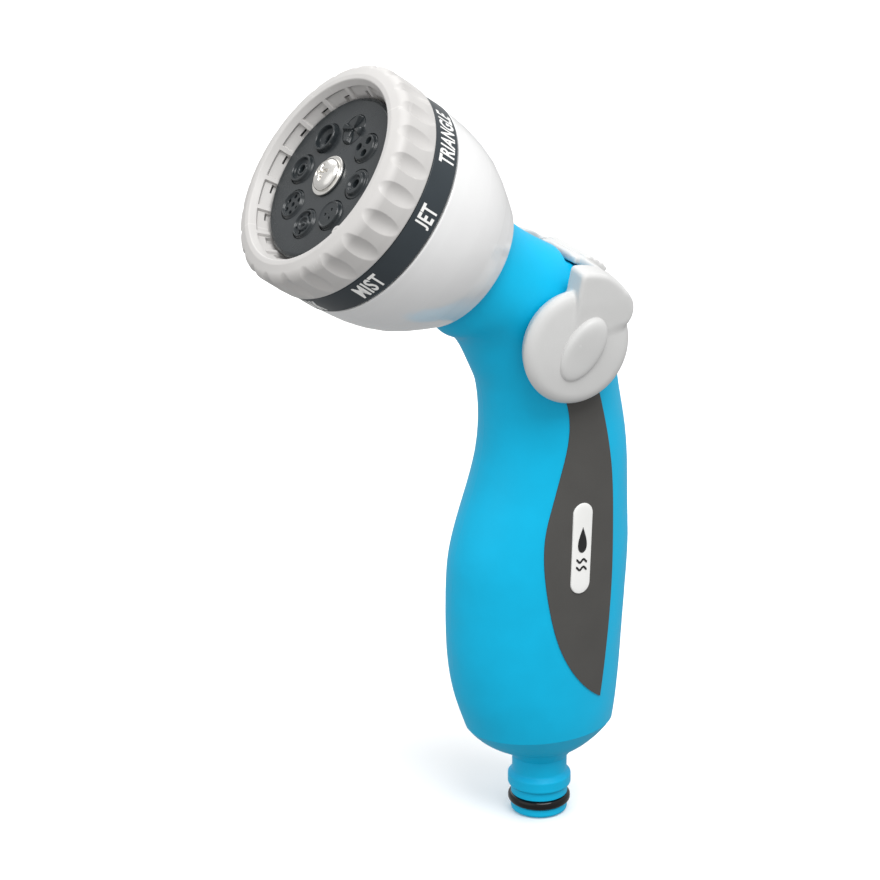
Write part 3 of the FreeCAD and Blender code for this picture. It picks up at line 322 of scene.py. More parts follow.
class LeverShape:
    """The thumb lever as a distance field in the lever frame (a, b across, x along the pivot).

    Angles are in degrees round the pivot, from the lever's back up over the neck.
    """

    disc_radius = 14.9
    crown_radius = 19.0
    hollow_radius = 17.9
    edge_round = 0.6

    def __init__(self):
        side = np.abs(node_points("thumb_lever", LEVER)[:, 2])
        cheeks_from, disc_thick, arm_thick = 12, 6.0, 6.7
        self.inner = side[side > cheeks_from].min()
        self.disc_top = self.inner + disc_thick
        self.arm_top = self.inner + arm_thick

    def disc_part(self, a, b, x):
        """The round cheek: drafted at its foot, slightly domed and well rounded at its rim."""
        draft, draft_height, dome, flat_radius, rim_round = 0.45, 3.6, 0.6, 6, 3.4
        radius = np.hypot(a, b)
        rim = radius - self.disc_radius + draft * np.maximum(self.inner + draft_height - x, 0)
        top = x - self.disc_top + dome * smoothstep(flat_radius, self.disc_radius, radius)
        return smooth_max(smooth_max(rim, top, rim_round), self.inner - x, self.edge_round)

    def crown(self, a, b, x):
        """How far the lever's outside stands from the pivot: less towards its sides."""
        rise, level_from, level_angle, fall = 0.06, 68.0, 45.0, 1.15
        angle = np.degrees(np.arctan2(b, a))
        peak = self.crown_radius + rise * (np.minimum(angle, level_from) - level_angle)
        return peak - fall * (np.abs(x) / self.arm_top) ** 3

    def arm_part(self, a, b, x):
        """The flat arm between the disc and the bridge, cut off slantwise above the disc's back."""
        heights = (-6.0, 1.9, 7.6, 10.6, 14.0, 19.3, 24.0)
        front_edge = (-4.6, -2.8, -1.9, -1.5, -1.1, 0.0, 1.4)
        foot_lean = math.radians(12)
        left = (np.interp(b, heights, front_edge) - a) * 0.98
        outer = np.hypot(a, b) - self.crown(a, b, x)
        heel = 0.919 * (a - 13.5) - 0.394 * (b - 4.5)
        foot = -b * math.cos(foot_lean) + a * math.sin(foot_lean) - 0.3
        rise = self.disc_top + (self.arm_top - self.disc_top) * smoothstep(1, 12, b)
        shape = smooth_max(smooth_max(left, outer, 1.2), x - rise, 1.2)
        shape = smooth_max(smooth_max(shape, heel, 0.9), foot, 3.5)
        return smooth_max(shape, self.inner - x, self.edge_round)

    def bridge_part(self, a, b, x):
        """The curved thumb plate that joins the two arms round the handle's back."""
        front_angle, front_bow, back_angle = 75.0, 0.06, 32.0
        least_crown, side_drop = 18.9, 3.0
        radius, angle = np.hypot(a, b), np.degrees(np.arctan2(b, a))
        front = front_angle - front_bow * x * x
        ahead = (angle - front) * radius * math.pi / 180
        behind = (back_angle - angle) * radius * math.pi / 180
        crown = np.maximum(self.crown(a, b, x), least_crown - side_drop * smoothstep(10, 15, x))
        shell = smooth_max(radius - crown, self.hollow_radius - radius, 0.4)
        shell = smooth_max(shell, np.maximum(ahead, behind), 1.2)
        return smooth_max(shell, x - self.arm_top + 0.2, 1.4)

    def pad_part(self, a, b, x):
        """The ribbed thumb bar that runs across the bridge, and the lower bar in front of it."""
        bar_angle, bar_radius, rib_height, rib_pitch = 57.0, 20.0, 0.22, 1.9
        tall_radius, tall_halves = 19.8, (3.6, 1.1, 9.6)
        low_radius, low_ahead, low_halves = 19.0, 5.0, (0.85, 0.85, 8.8)
        radius, angle = np.hypot(a, b), np.degrees(np.arctan2(b, a))
        along = (angle - bar_angle) * bar_radius * math.pi / 180
        ribs = rib_height * np.cos(2 * math.pi * along / rib_pitch)
        tall = self.block(along, radius - tall_radius - ribs, x, *tall_halves)
        low = self.block(along - low_ahead, radius - low_radius, x, *low_halves)
        return np.minimum(tall, low)

    @staticmethod
    def block(u, v, w, half_u, half_v, half_w, corner=0.45):
        """A block with rounded edges."""
        gap = np.stack((np.abs(u) - half_u + corner, np.abs(v) - half_v + corner,
                        np.abs(w) - half_w + corner))
        return np.linalg.norm(np.maximum(gap, 0), axis=0) + np.minimum(gap.max(axis=0), 0) - corner

    def __call__(self, a, b, x):
        x = np.abs(x)
        side = smooth_min(self.disc_part(a, b, x), self.arm_part(a, b, x), self.edge_round)
        whole = smooth_min(side, self.bridge_part(a, b, x), 1.4)
        return smooth_min(whole, self.pad_part(a, b, x), 0.3)


def surface_net(distance, low, high, step):
    """A quad mesh of the zero surface of a distance function, pulled onto the surface."""
    axes = [np.arange(start, stop + step, step) for start, stop in zip(low, high)]
    grid = np.meshgrid(*axes, indexing="ij")
    value = distance(*grid)
    inside = value < 0
    shape = np.array(value.shape) - 1
    total, crossings = np.zeros((*shape, 3)), np.zeros(shape)
    for axis in range(3):
        steps = [slice(None)] * 3
        following = [slice(None)] * 3
        steps[axis], following[axis] = slice(0, -1), slice(1, None)
        first, second = value[tuple(steps)], value[tuple(following)]
        crossed = inside[tuple(steps)] != inside[tuple(following)]
        share = np.where(crossed, first / np.where(crossed, first - second, 1), 0)
        for one in (0, 1):
            for two in (0, 1):
                others = [other for other in range(3) if other != axis]
                pick = [slice(None)] * 3
                pick[others[0]] = slice(one, shape[others[0]] + one)
                pick[others[1]] = slice(two, shape[others[1]] + two)
                hit, part = crossed[tuple(pick)], share[tuple(pick)]
                crossings += hit
                total[..., axis] += hit * part
                total[..., others[0]] += hit * one
                total[..., others[1]] += hit * two
    used = crossings > 0
    number = np.full(tuple(shape), -1)
    number[used] = np.arange(used.sum())
    cells = np.argwhere(used)
    points = np.array(low) + (cells + total[used] / crossings[used][:, None]) * step
    faces = []
    for axis in range(3):
        one, two = (axis + 1) % 3, (axis + 2) % 3
        steps = [slice(1, -1)] * 3
        following = [slice(1, -1)] * 3
        steps[axis], following[axis] = slice(0, -1), slice(1, None)
        crossed = inside[tuple(steps)] != inside[tuple(following)]
        where = np.argwhere(crossed)
        where[:, one] += 1
        where[:, two] += 1
        leaving = inside[tuple(where.T)]
        back_one, back_two = np.zeros(3, int), np.zeros(3, int)
        back_one[one], back_two[two] = 1, 1
        cells_round = (where - back_one - back_two, where - back_two, where, where - back_one)
        quad = np.stack([number[tuple(cell.T)] for cell in cells_round], axis=1)
        quad[~leaving] = quad[~leaving][:, ::-1]
        faces.append(quad)
    faces = np.concatenate(faces)
    faces = faces[(faces >= 0).all(axis=1)]
    small = 0.05
    for _ in range(4):
        here = distance(*points.T)
        slope = np.stack([distance(*(points + offset).T) - distance(*(points - offset).T)
                          for offset in np.eye(3) * small], axis=1) / (2 * small)
        size = np.maximum((slope * slope).sum(axis=1), 0.25)
        move = slope * (here / size)[:, None]
        points -= np.clip(move, -0.3 * step, 0.3 * step)
    return points, faces.tolist()


def build_lever():
    """The thumb lever and its two oval caps."""
    shape = LeverShape()
    step, low, high = 0.42, (-16.5, -16.5, -24.0), (22.5, 23.5, 24.0)
    points, faces = surface_net(shape, low, high, step)
    make_piece("thumb_lever_body", points, faces, LEVER_BODY, "lever_grey", ("thumb_lever",), LEVER,
               crease=50)
    for side, name in SIDES:
        build_cap(shape, side, name)


def build_cap(shape, side, name):
    """An oval cap over the lever's screw: a raised pad that fades into the disc at its foot."""
    centre, lean = np.array((0.5, 0.0)), math.radians(58)
    long_half, short_half = 8.8, 5.2
    least_rise, more_rise, sunk, skirt = 0.9, 1.5, 0.8, 1.0
    rings, segments = 26, 96
    along = np.array((math.cos(lean), math.sin(lean)))
    across = np.array((-along[1], along[0]))
    angle = np.linspace(0, 2 * math.pi, segments, endpoint=False)
    foot = shape.disc_top - sunk
    points = []
    for share in np.sin(np.linspace(0.04, 1, rings) * math.pi / 2):
        u, v = long_half * share * np.cos(angle), short_half * share * np.sin(angle)
        top = shape.disc_top + least_rise + more_rise * smoothstep(-10, 9, u)
        height = foot + (top - foot) * np.sqrt(np.clip(1 - share ** 6, 0, 1)) ** 0.55
        flat = centre + u[:, None] * along + v[:, None] * across
        points.append(np.column_stack((flat, side * height)))
    points.append(np.column_stack((flat, np.full(segments, side * (foot - skirt)))))
    make_piece(f"lever_cap_{name}_oval", np.concatenate(points), stacked_faces(rings + 1, segments),
               LEVER_BODY, "lever_grey", (f"lever_cap_{name}",), LEVER)


# ---- spray head ----

def build_bell():
    """The glossy bell housing."""
    lip, back, front = turned_size("bell_housing")
    plane = back + 8.0
    bore, spigot, throat, mouth = 8.3, 12.4, 11.4, 26.1
    spigot_top, mouth_floor = back + 2.4, front - 3.5
    inside = [(bore, plane + 2.8, 0.3), (bore, back, 0.3), (spigot, back, 0.4),
              (spigot, spigot_top, 0.3), (throat, spigot_top, 0.2), (throat, plane, 0.2)]
    outside = [(17.0, plane, 1.2), (18.6, plane + 1.2, 1.6), (20.8, plane + 4.6, 12.0),
               (25.6, plane + 12.6, 30.0), (27.9, plane + 22.0, 40.0), (lip, front, 0.4)]
    cup = [(mouth, front, 0.2), (mouth, mouth_floor, 0.2), (24.9, mouth_floor, 0.2),
           (23.9, plane + 15.4, 12.0), (15.6, plane + 2.8, 1.0)]
    turned_piece("bell_housing_shell", inside + outside + cup, HANDLE, "bell_white",
                 ("bell_housing",), segments=256)


def build_band():
    """The dark label band and its printed spray names."""
    radius, low, high = turned_size("label_band")
    inner = radius - 2.3
    profile = [(inner, low, 0.1), (radius, low, 0.5), (radius, high, 0.25), (inner, high, 0.1)]
    turned_piece("label_band_ring", profile, DIAL, "band_slate", ("label_band",), segments=256)
    words = {"jet_insert": "JET", "triangle_insert": "TRIANGLE", "fan_insert": "FLOWER",
             "full_insert": "FULL", "cone_insert": "CONE", "shower_insert": "SHOWER",
             "soaker_insert": "SOAK", "mist_insert": "MIST"}
    for node, word in words.items():
        centre = node_points(node, HEAD).mean(axis=0)
        angle = math.atan2(centre[1], centre[0])
        print_word(f"legend_{word.lower()}", word, radius, (low + high) / 2, angle)


def print_word(name, word, radius, middle, angle):
    """A word printed round the band, its tops towards the front, raised by a film of ink."""
    cap_height, width_scale, ink, sunk = 4.5, 0.56, 0.07, 0.15
    cut_reach, cut_step = 3.2, 0.12  # cuts across the letters, so that they bend round the band
    curve = bpy.data.curves.new(name, "FONT")
    curve.body = word
    curve.align_x = "CENTER"
    curve.size = 1.0
    curve.offset = 0.022
    curve.space_character = 1.06
    curve.resolution_u = 3
    text = bpy.data.objects.new(f"{name}_curve", curve)
    bpy.context.scene.collection.objects.link(text)
    bpy.context.view_layer.update()
    settled = text.evaluated_get(bpy.context.evaluated_depsgraph_get())
    flat = bpy.data.meshes.new_from_object(settled)
    bpy.data.objects.remove(text)
    work = bmesh.new()
    work.from_mesh(flat)
    bpy.data.meshes.remove(flat)
    bmesh.ops.remove_doubles(work, verts=work.verts, dist=1e-5)
    lift_hooks(work)
    tall = max(vertex.co.y for vertex in work.verts)
    scale = cap_height / tall
    for cut in np.arange(-cut_reach, cut_reach, cut_step):
        geometry = list(work.verts) + list(work.edges) + list(work.faces)
        bmesh.ops.bisect_plane(work, geom=geometry, plane_co=(cut, 0, 0), plane_no=(1, 0, 0))
    raised = bmesh.ops.extrude_face_region(work, geom=list(work.faces))
    lifted = {item for item in raised["geom"] if isinstance(item, bmesh.types.BMVert)}
    for vertex in work.verts:
        across = vertex.co.x * scale * width_scale
        height = middle + (vertex.co.y * scale - cap_height / 2)
        turn = angle + across / radius
        out = radius + (ink if vertex in lifted else -sunk)
        vertex.co = HEAD @ Vector((out * math.cos(turn), out * math.sin(turn), height)) * MM
    bmesh.ops.recalc_face_normals(work, faces=work.faces)
    mesh = bpy.data.meshes.new(name)
    work.to_mesh(mesh)
    work.free()
    finish_piece(name, mesh, DIAL, "badge_white", (), PRINT_WHITE)


def lift_hooks(work):
    """Squeeze any letter that dips below the line, such as a J, so that it stands on the line."""
    waiting, least_dip = set(work.verts), 0.05
    while waiting:
        letter, front = set(), [waiting.pop()]
        while front:
            vertex = front.pop()
            letter.add(vertex)
            for edge in vertex.link_edges:
                other = edge.other_vert(vertex)
                if other in waiting:
                    waiting.discard(other)
                    front.append(other)
        low = min(vertex.co.y for vertex in letter)
        high = max(vertex.co.y for vertex in letter)
        if low < -least_dip:
            for vertex in letter:
                vertex.co.y = high * (vertex.co.y - low) / (high - low)


def build_grip_ring():
    """The fluted grip ring: scalloped outside, with ribs and shallow windows inside its lip, the windows
    painted near-black as shade.
    """
    radius, low, front = turned_size("grip_ring")
    skirt = turned_size("dial_body")[0]
    lip, well, columns = 23.5, 22.0, 1440
    lip_low, well_low, floor = front - 1.5, front - 4.9, low + 3.7
    flutes, flute_phase, scoop_depth, scoop_radius = 24, 9.0, 0.95, 2.9
    scoop_low, scoop_short = low + 0.8, 4.9
    ribs, rib_height, window_depth = 18, 0.75, 1.0

    outer = rounded([(skirt, low, 0.0), (radius - 0.2, low, 0.7), (radius, low + 3.0, 0.0),
                     (radius, front - 1.2, 4.4), (25.6, front, 1.0), (lip + 0.8, front, 0.5),
                     (lip, lip_low, 0.0)], closed=False, step=6.0)
    dense = []
    for start, end in zip(outer[:-1], outer[1:]):
        pieces = max(1, int(np.linalg.norm(end - start) / 0.25))
        dense += [start + (end - start) * share for share in np.linspace(0, 1, pieces, endpoint=False)]
    dense = np.array(dense + [outer[-1]])
    steps = np.linspace(0, 1, 16)[1:]
    wall = np.column_stack((lip + (well - lip) * steps, lip_low + (well_low - lip_low) * steps))
    profile = np.concatenate((dense, wall, [(well, floor), (skirt, floor)]))
    on_wall = slice(len(dense), len(dense) + len(steps))
    along = np.concatenate(([0], np.cumsum(np.linalg.norm(np.diff(profile, axis=0), axis=1))))
    tangent = np.gradient(profile, axis=0)
    tangent /= np.linalg.norm(tangent, axis=1)[:, None]
    inward = np.column_stack((-tangent[:, 1], tangent[:, 0]))
    angle = np.radians(np.arange(columns) * 360 / columns)

    start = along[np.argmin(np.abs(dense[:, 1] - scoop_low))]
    end = along[len(dense) - 1] - scoop_short
    t = np.clip((along - (start + end) / 2) / ((end - start) / 2), -1, 1)
    reach = (1 - t * t)[:, None]
    reach[len(dense):] = 0
    across = np.radians(from_nearest(angle, flutes, flute_phase))[None, :] * radius
    depth = np.maximum(scoop_depth * reach - across ** 2 / (2 * scoop_radius), 0)

    rib_away = from_nearest(angle, ribs)
    rib = 1 - smoothstep(1.3, 1.9, np.abs(rib_away))
    depth[on_wall] += rib_height * smoothstep(0.06, 0.2, steps)[:, None] * (1 - rib)[None, :]
    window = np.zeros(depth.shape, bool)
    window[on_wall] = (steps > 0.72)[:, None] & ((rib_away > 2.4) & (rib_away < 8.0))[None, :]
    depth[window] += window_depth

    shifted = profile[:, None, :] + inward[:, None, :] * depth[:, :, None]
    points = np.stack((shifted[..., 0] * np.cos(angle), shifted[..., 0] * np.sin(angle),
                       shifted[..., 1]), axis=-1)
    faces = grid_faces(len(profile), columns, wrap_rows=True)
    ring = make_piece("grip_ring_fluted", points.reshape(-1, 3), faces, DIAL, "ring_grey",
                      ("grip_ring",), HEAD, crease=16)
    # The window faces take the near-black material: painted shade in place of the openings' depth.
    ring.data.materials.append(WINDOW_SHADE)
    shaded_windows = window & np.roll(window, -1, axis=1)
    shaded_windows &= np.roll(shaded_windows, -1, axis=0)
    ring.data.polygons.foreach_set("material_index", shaded_windows.ravel().astype(int))


def from_nearest(angle, count, phase=0.0):
    """Degrees from the nearest of several equally spaced places round a circle."""
    pitch = 360 / count
    return (np.degrees(angle) - phase + pitch / 2) % pitch - pitch / 2


def build_stop_lug():
    """A small lug with a hole that stands up inside the ring at the spray plate's edge."""
    top = turned_size("spray_plate")[2]
    turn, out, hole_radius, tall = math.radians(-30), 20.3, 0.55, 1.1
    spot = HEAD @ Matrix.Translation((out * math.cos(turn), out * math.sin(turn), 0))
    profile = [(hole_radius, top - 0.5, 0.05), (1.5, top - 0.5, 0.1), (1.4, top + tall, 0.25),
               (hole_radius, top + tall, 0.15)]
    turned_piece("stop_lug", profile, DIAL, "ring_grey", (), spot, segments=48)


# ---- spray patterns ----

def disc_ring(rho, inner, outer, soft=0.22):
    """1 between two radii, with soft edges."""
    return smoothstep(inner - soft, inner + soft, rho) * (1 - smoothstep(outer - soft, outer + soft, rho))


def hole(x, y, centre_x, centre_y, radius, soft=0.16):
    """1 inside a small round hole."""
    return 1 - smoothstep(radius - soft, radius + soft, np.hypot(x - centre_x, y - centre_y))


def holes_on_circle(x, y, count, circle, radius, phase=0.0):
    """1 inside each of several holes on a circle."""
    total = np.zeros_like(x)
    for index in range(count):
        turn = math.radians(phase + 360 / count * index)
        total = np.maximum(total, hole(x, y, circle * math.cos(turn), circle * math.sin(turn), radius))
    return total


# heights in mm of each insert's pattern over the plate, from (x, y) and the distance rho

def full_relief(x, y, rho):
    return 1.2 * disc_ring(rho, 2.9, 3.75) - 0.5 * (1 - smoothstep(1.5, 2.9, rho)) \
        - 1.6 * hole(x, y, 0, 0, 1.3)


def fan_relief(x, y, rho):
    turn = np.arctan2(y, x)
    leaf = smoothstep(0.15, 0.75, np.cos(4 * turn)) * disc_ring(rho, 0.6, 3.8, 0.4)
    return 1.1 * leaf * (0.35 + 0.65 * rho / 3.8) - 0.9 * hole(x, y, 0, 0, 0.55)


def triangle_relief(x, y, rho):
    raised = 0.8 * disc_ring(rho, 0, 3.5, 0.3)
    return raised - 2.2 * holes_on_circle(x, y, 3, 1.9, 0.85, 25)


def jet_relief(x, y, rho):
    return 0.9 * disc_ring(rho, 1.9, 3.1, 0.3) + 0.25 * disc_ring(rho, 0, 1.9) \
        - 2.4 * hole(x, y, 0, 0, 1.0)


def mist_relief(x, y, rho):
    return 0.75 * disc_ring(rho, 0, 3.6, 0.25) + 0.2 * disc_ring(rho, 3.1, 3.6, 0.15) \
        - 1.0 * holes_on_circle(x, y, 3, 1.3, 0.3)


def soaker_relief(x, y, rho):
    return 0.6 * disc_ring(rho, 3.0, 3.6, 0.2) + 0.55 * disc_ring(rho, 1.4, 2.0, 0.2) \
        + 0.5 * hole(x, y, 0, 0, 0.5) - 1.2 * holes_on_circle(x, y, 6, 2.5, 0.3)


def shower_relief(x, y, rho):
    return 0.55 * disc_ring(rho, 3.0, 3.5, 0.2) - 1.4 * holes_on_circle(x, y, 6, 2.2, 0.45) \
        - 1.2 * hole(x, y, 0, 0, 0.5)


def cone_relief(x, y, rho):
    return 0.8 * disc_ring(rho, 2.8, 3.6, 0.2) + 0.3 * disc_ring(rho, 1.1, 1.7, 0.2) \
        - 1.8 * hole(x, y, 0, 0, 0.9)


RELIEFS = {
    "jet_insert": jet_relief, "triangle_insert": triangle_relief, "fan_insert": fan_relief,
    "full_insert": full_relief, "cone_insert": cone_relief, "shower_insert": shower_relief,
    "soaker_insert": soaker_relief, "mist_insert": mist_relief,
}


def build_inserts():
    """The eight spray inserts, each with its own moulded pattern."""
    plate_top = turned_size("spray_plate")[2]
    proud, brow, gap = 0.05, 0.35, 0.03
    rings, segments = 60, 144
    for node, relief in RELIEFS.items():
        cad = node_points(node, HEAD)
        middle = (cad.min(axis=0) + cad.max(axis=0)) / 2
        radius = (cad[:, 0].max() - cad[:, 0].min()) / 2
        turn = math.atan2(middle[1], middle[0])
        rho = np.linspace(0.04, radius - gap, rings)[:, None]
        angle = np.linspace(0, 2 * math.pi, segments, endpoint=False)[None, :]
        x, y = rho * np.cos(angle), rho * np.sin(angle)
        level = plate_top + proud - brow * smoothstep(radius - brow, radius, rho)
        points = over_a_base(x, y, level + relief(x, y, rho + 0 * angle), cad[:, 2].min())
        spot = HEAD @ Matrix.Translation((middle[0], middle[1], 0)) @ Matrix.Rotation(turn, 4, "Z")
        make_piece(f"{node}_relief", points, stacked_faces(rings + 1, segments), DIAL, "face_dark",
                   (node,), spot)


def over_a_base(x, y, height, base):
    """The points of a round surface, and a last ring straight below its edge."""
    top = np.stack((x, y, height), axis=-1).reshape(-1, 3)
    below = top[-x.shape[1]:].copy()
    below[:, 2] = base
    return np.concatenate((top, below))


def build_centre_screw():
    """The bright washer and the pan-head screw with its cross recess."""
    bore = 2.0
    radius, low, high = turned_size("centre_washer")
    washer = [(bore, low, 0.05), (radius, low, 0.12), (radius, high, 0.2), (bore, high, 0.05)]
    turned_piece("centre_washer_ring", washer, HANDLE, "polished_steel", ("centre_washer",),
                 segments=96)
    head, _, top = turned_size("centre_screw")
    arm_half, arm_long, recess_depth, recess_rise, cross_turn = 0.42, 2.1, 1.35, 0.35, 28
    rings, segments = 70, 144
    rho = (np.linspace(0.004, 1, rings) * head)[:, None]
    angle = np.linspace(0, 2 * math.pi, segments, endpoint=False)[None, :]
    x, y = rho * np.cos(angle), rho * np.sin(angle)
    dome = high + (top - high) * np.sqrt(np.clip(1 - (rho / head) ** 2.6, 0, 1)) + 0 * angle
    arm = np.minimum(np.maximum(np.abs(x) - arm_half, np.abs(y) - arm_long),
                     np.maximum(np.abs(y) - arm_half, np.abs(x) - arm_long))
    recess = 1 - smoothstep(-0.08, 0.14, arm)
    floor = top - recess_depth + recess_rise * rho
    points = over_a_base(x, y, dome + (floor - dome) * recess, high - 0.05)
    make_piece("centre_screw_head", points, stacked_faces(rings + 1, segments), HANDLE,
               "polished_steel", ("centre_screw",),
               HEAD @ Matrix.Rotation(math.radians(cross_turn), 4, "Z"))


# ---- hose nipple ----

def build_nipple():
    """The hose nipple with softened edges, and its thick glossy O-ring."""
    points = node_points("inlet_nipple")
    radius, height = np.hypot(points[:, 0], points[:, 1]), points[:, 2]
    nose, bore = radius[height < 2].max(), radius[height < 2].min()
    groove = radius[(height > 2) & (height < 5)].min()
    flange = radius[(height > 7) & (height < 11)].max()
    neck = radius[(height > 11) & (height < 21)].max()
    top, collar = height.max(), radius.max()
    groove_low, groove_high, flange_low, flange_high = 2.3, 4.9, 7.7, 10.3
    seat, step, bore_top = 21.6, 24.0, 15.0
    outside = [(bore, 0, 0.4), (nose, 0, 0.9), (nose, groove_low, 0.15), (groove, groove_low, 0.1),
               (groove, groove_high, 0.1), (nose, groove_high, 0.15), (nose, flange_low - 0.8, 0.2),
               (flange, flange_low, 0.7), (flange, flange_high, 0.7), (neck, flange_high + 1.2, 0.9),
               (neck, seat, 0.2), (collar, seat, 0.3), (collar, step, 0.2)]
    inside = [(8.0, step, 0.1), (8.0, top, 0.2), (5.6, top, 0.2), (5.6, step, 0.1),
              (4.2, step, 0.1), (4.2, bore_top, 0.1), (bore, bore_top, 0.1)]
    turned_piece("inlet_nipple_turned", outside + inside, HANDLE, "handle_blue", ("inlet_nipple",),
                 WORLD, segments=128)
    low, high, hold, wide = groove_low + 0.1, groove_high - 0.05, groove - 0.05, flange - 0.1
    ring = [(hold, low, 0.5), (wide, low, 1.0), (wide, high, 1.0), (hold, high, 0.5)]
    turned_piece("inlet_o_ring_glossy", ring, HANDLE, "seal_black", ("inlet_o_ring",), WORLD,
                 segments=128)


# ---- badges ----

class Badge:
    """A smooth pill over one CAD badge, with its own (u, v) places: u across it, v up it."""

    def __init__(self, node, side):
        mesh = frame["nodes"][node].data
        corners = [tuple(vertex.co / MM) for vertex in mesh.vertices]
        polygons = [tuple(polygon.vertices) for polygon in mesh.polygons]
        tree = BVHTree.FromPolygons(corners, polygons)
        cad = node_points(node)[:, 1:]
        self.side = side
        oversize, outside = 0.25, 60.0
        self.middle = (cad.min(axis=0) + cad.max(axis=0)) / 2
        spread = np.linalg.svd(cad - cad.mean(axis=0), full_matrices=False)[2]
        self.up = spread[0] * np.sign(spread[0][1])
        self.across = np.array((self.up[1], -self.up[0]))
        self.long = np.abs((cad - self.middle) @ self.up).max()
        self.wide = np.abs((cad - self.middle) @ self.across).max() + oversize
        found = []
        for v in np.linspace(-0.85, 0.85, 13) * self.long:
            for u in np.linspace(-0.7, 0.7, 5) * self.wide:
                y, z = self.middle + u * self.across + v * self.up
                hit = tree.ray_cast(Vector((side * outside, y, z)), Vector((-side, 0, 0)))[0]
                if hit:
                    found.append((u, v, hit.x))
        u, v, x = np.array(found).T
        self.bend = np.linalg.lstsq(self.terms(u, v), x, rcond=None)[0]

    @staticmethod
    def terms(u, v):
        """The terms of a second-degree surface."""
        return np.column_stack((1 + 0 * u, u, v, u * u, u * v, v * v))

    def points(self, u, v, lift):
        """World points that stand the given height above the CAD badge's face."""
        u, v = np.asarray(u, float), np.asarray(v, float)
        x = self.terms(u, v) @ self.bend + self.side * lift
        flat = self.middle + np.outer(u, self.across) + np.outer(v, self.up)
        return np.column_stack((x, flat))

    def outline(self, inset):
        """The pill's edge, moved in by inset."""
        radius = self.wide - inset
        straight = self.long - self.wide
        turn = np.linspace(0, math.pi, 33)
        u = np.concatenate((radius * np.cos(turn), -radius * np.cos(turn)))
        v = np.concatenate((straight + radius * np.sin(turn), -straight - radius * np.sin(turn)))
        return u, v


def stacked_patch(name, rings, nodes=(), material=None):
    """A closed lump of the badge from rings of points, each with as many points as the next."""
    make_piece(name, np.concatenate(rings), stacked_faces(len(rings), len(rings[0])), HANDLE,
               "badge_white", nodes, material=material)


def print_ripple(name, badge, level):
    """A printed wavy line across the badge."""
    half, width, wave, film, sunk, count = 1.6, 0.55, 0.4, 0.1, -0.3, 49
    u = np.linspace(-half, half, count)
    v = level + wave * np.sin(u / half * 1.5 * math.pi)
    slope = np.gradient(v, u)
    size = np.hypot(1, slope)
    rows = []
    for offset, lift in ((-0.5, sunk), (-0.5, film), (0.5, film), (0.5, sunk)):
        aside = width * offset / size
        rows.append(badge.points(u - slope * aside, v + aside, lift))
    faces = grid_faces(4, count, wrap_rows=True, wrap_columns=False)
    ends = [[row * count for row in range(4)], [(row + 1) * count - 1 for row in (3, 2, 1, 0)]]
    make_piece(name, np.concatenate(rows), faces + ends, HANDLE, "badge_white", material=PRINT_BLACK)


def build_badges():
    """White pill badges that carry a plain water drop over two ripples."""
    edge = ((0.0, -0.9), (0.0, -0.35), (0.03, -0.15), (0.12, 0.0), (0.3, 0.05), (1.2, 0.07),
            (2.4, 0.07))  # how far in from the pill's outline, and how high
    drop_wide, drop_half, drop_middle, film, sunk = 1.8, 3.4, 2.4, 0.1, -0.3
    turn = np.linspace(0, 2 * math.pi, 60, endpoint=False)
    u, v = drop_wide * np.sin(turn) * np.sin(turn / 2) ** 1.4, drop_half * np.cos(turn)
    for side, name in SIDES:
        badge = Badge(f"badge_{name}", side)
        rings = [badge.points(*badge.outline(inset), lift) for inset, lift in edge]
        stacked_patch(f"badge_{name}_pill", rings, (f"badge_{name}",))
        drop = [badge.points(u * share, drop_middle + v * share, lift)
                for share, lift in ((1.0, sunk), (1.0, film), (0.7, film), (0.35, film), (0.05, film))]
        stacked_patch(f"badge_{name}_drop", drop, material=PRINT_BLACK)
        for number, level in enumerate((-3.2, -5.2), start=1):
            print_ripple(f"badge_{name}_ripple_{number}", badge, level)


# ---- stage ----

def towards(azimuth, elevation):
    """The direction to something at an azimuth, from -y towards +x, and an elevation."""
    return Vector((math.sin(azimuth) * math.cos(elevation), -math.cos(azimuth) * math.cos(elevation),
                   math.sin(elevation)))


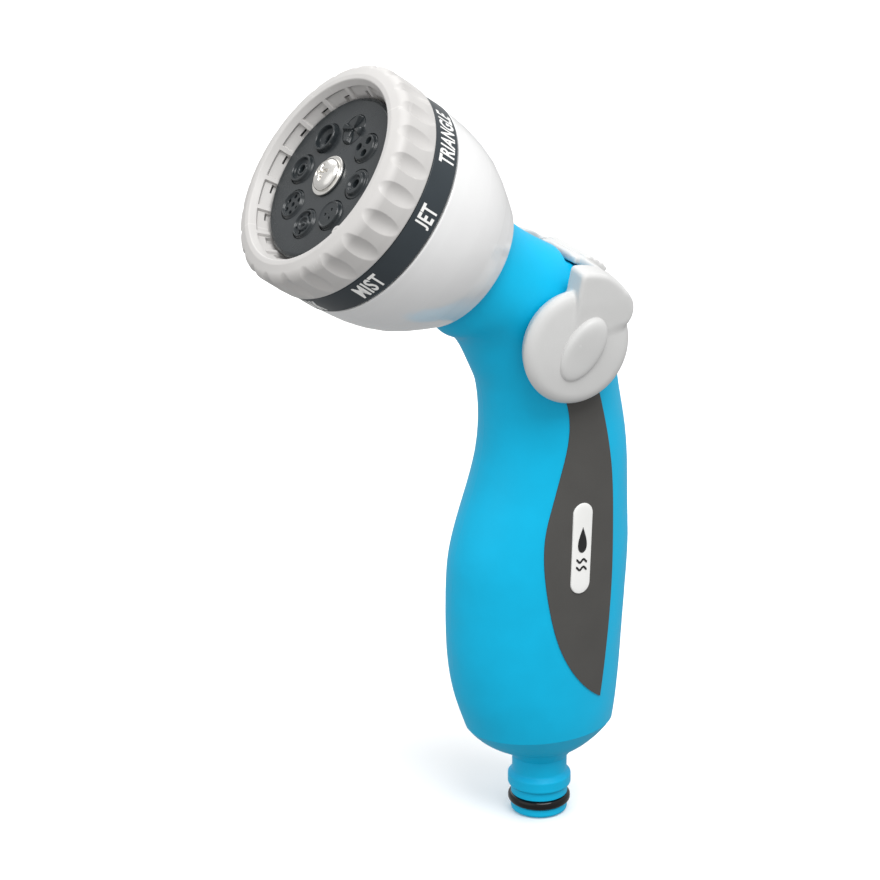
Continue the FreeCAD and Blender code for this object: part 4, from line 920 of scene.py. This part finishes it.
def build_stage():
    """The pale floor, the soft lights and the camera."""
    bpy.ops.mesh.primitive_plane_add(size=8.0, location=(0, 0, -0.0002))
    floor = bpy.context.active_object
    floor.name = "studio_floor"
    floor.data.materials.append(moulded("studio_floor", "FAFAFA", 0.8, 2.0, 0.0, tint=0.003, specular=0.1))
    floor.visible_diffuse = False
    floor.visible_glossy = False
    build_sky()
    target = Vector((0, -29.27, 108.4)) * MM
    azimuth, elevation, distance = math.radians(62.82), math.radians(20.99), 0.8998
    back = towards(azimuth, elevation)
    right = Vector((math.cos(azimuth), math.sin(azimuth), 0))
    up = back.cross(right)
    # name, azimuth from the camera's in degrees, elevation, strength, width of the light in degrees
    suns = (("key", 28, 62, 2.2, 40), ("fill", -50, 25, 0.35, 60), ("rim", 190, 45, 0.8, 50))
    for name, turn, height, strength, width in suns:
        lamp = bpy.data.lights.new(name, "SUN")
        lamp.energy = strength
        lamp.angle = math.radians(width)
        item = bpy.data.objects.new(name, lamp)
        from_light = towards(azimuth + math.radians(turn), math.radians(height))
        item.location = target + from_light
        item.rotation_euler = from_light.to_track_quat("Z", "Y").to_euler()
        bpy.context.scene.collection.objects.link(item)
    camera = bpy.data.cameras.new("camera")
    camera.lens = 147.7
    camera.sensor_width = 36.0
    camera.clip_start, camera.clip_end = 0.01, 50
    view = bpy.data.objects.new("camera", camera)
    view.matrix_world = Matrix.Translation(target + back * distance) @ \
        Matrix((right, up, back)).transposed().to_4x4()
    bpy.context.scene.collection.objects.link(view)
    bpy.context.scene.camera = view
    bpy.context.scene.view_settings.view_transform = "Standard"


def build_sky():
    """An even grey room that is lighter overhead than below."""
    world = bpy.data.worlds.new("studio")
    bpy.context.scene.world = world
    world.use_nodes = True
    nodes, links = world.node_tree.nodes, world.node_tree.links
    way = nodes.new("ShaderNodeTexCoord")
    split = nodes.new("ShaderNodeSeparateXYZ")
    below, overhead = 0.40, 0.86
    shade = nodes.new("ShaderNodeMapRange")
    shade.inputs["From Min"].default_value = -1.0
    shade.inputs["From Max"].default_value = 1.0
    shade.inputs["To Min"].default_value = below
    shade.inputs["To Max"].default_value = overhead
    links.new(way.outputs["Generated"], split.inputs["Vector"])
    links.new(split.outputs["Z"], shade.inputs["Value"])
    links.new(shade.outputs["Result"], nodes["Background"].inputs["Strength"])
    nodes["Background"].inputs["Color"].default_value = (1, 1, 1, 1)


dress_cad_nodes()
build_lever()
build_bell()
build_band()
build_grip_ring()
build_inserts()
build_centre_screw()
build_stop_lug()
build_nipple()
build_badges()
build_stage()
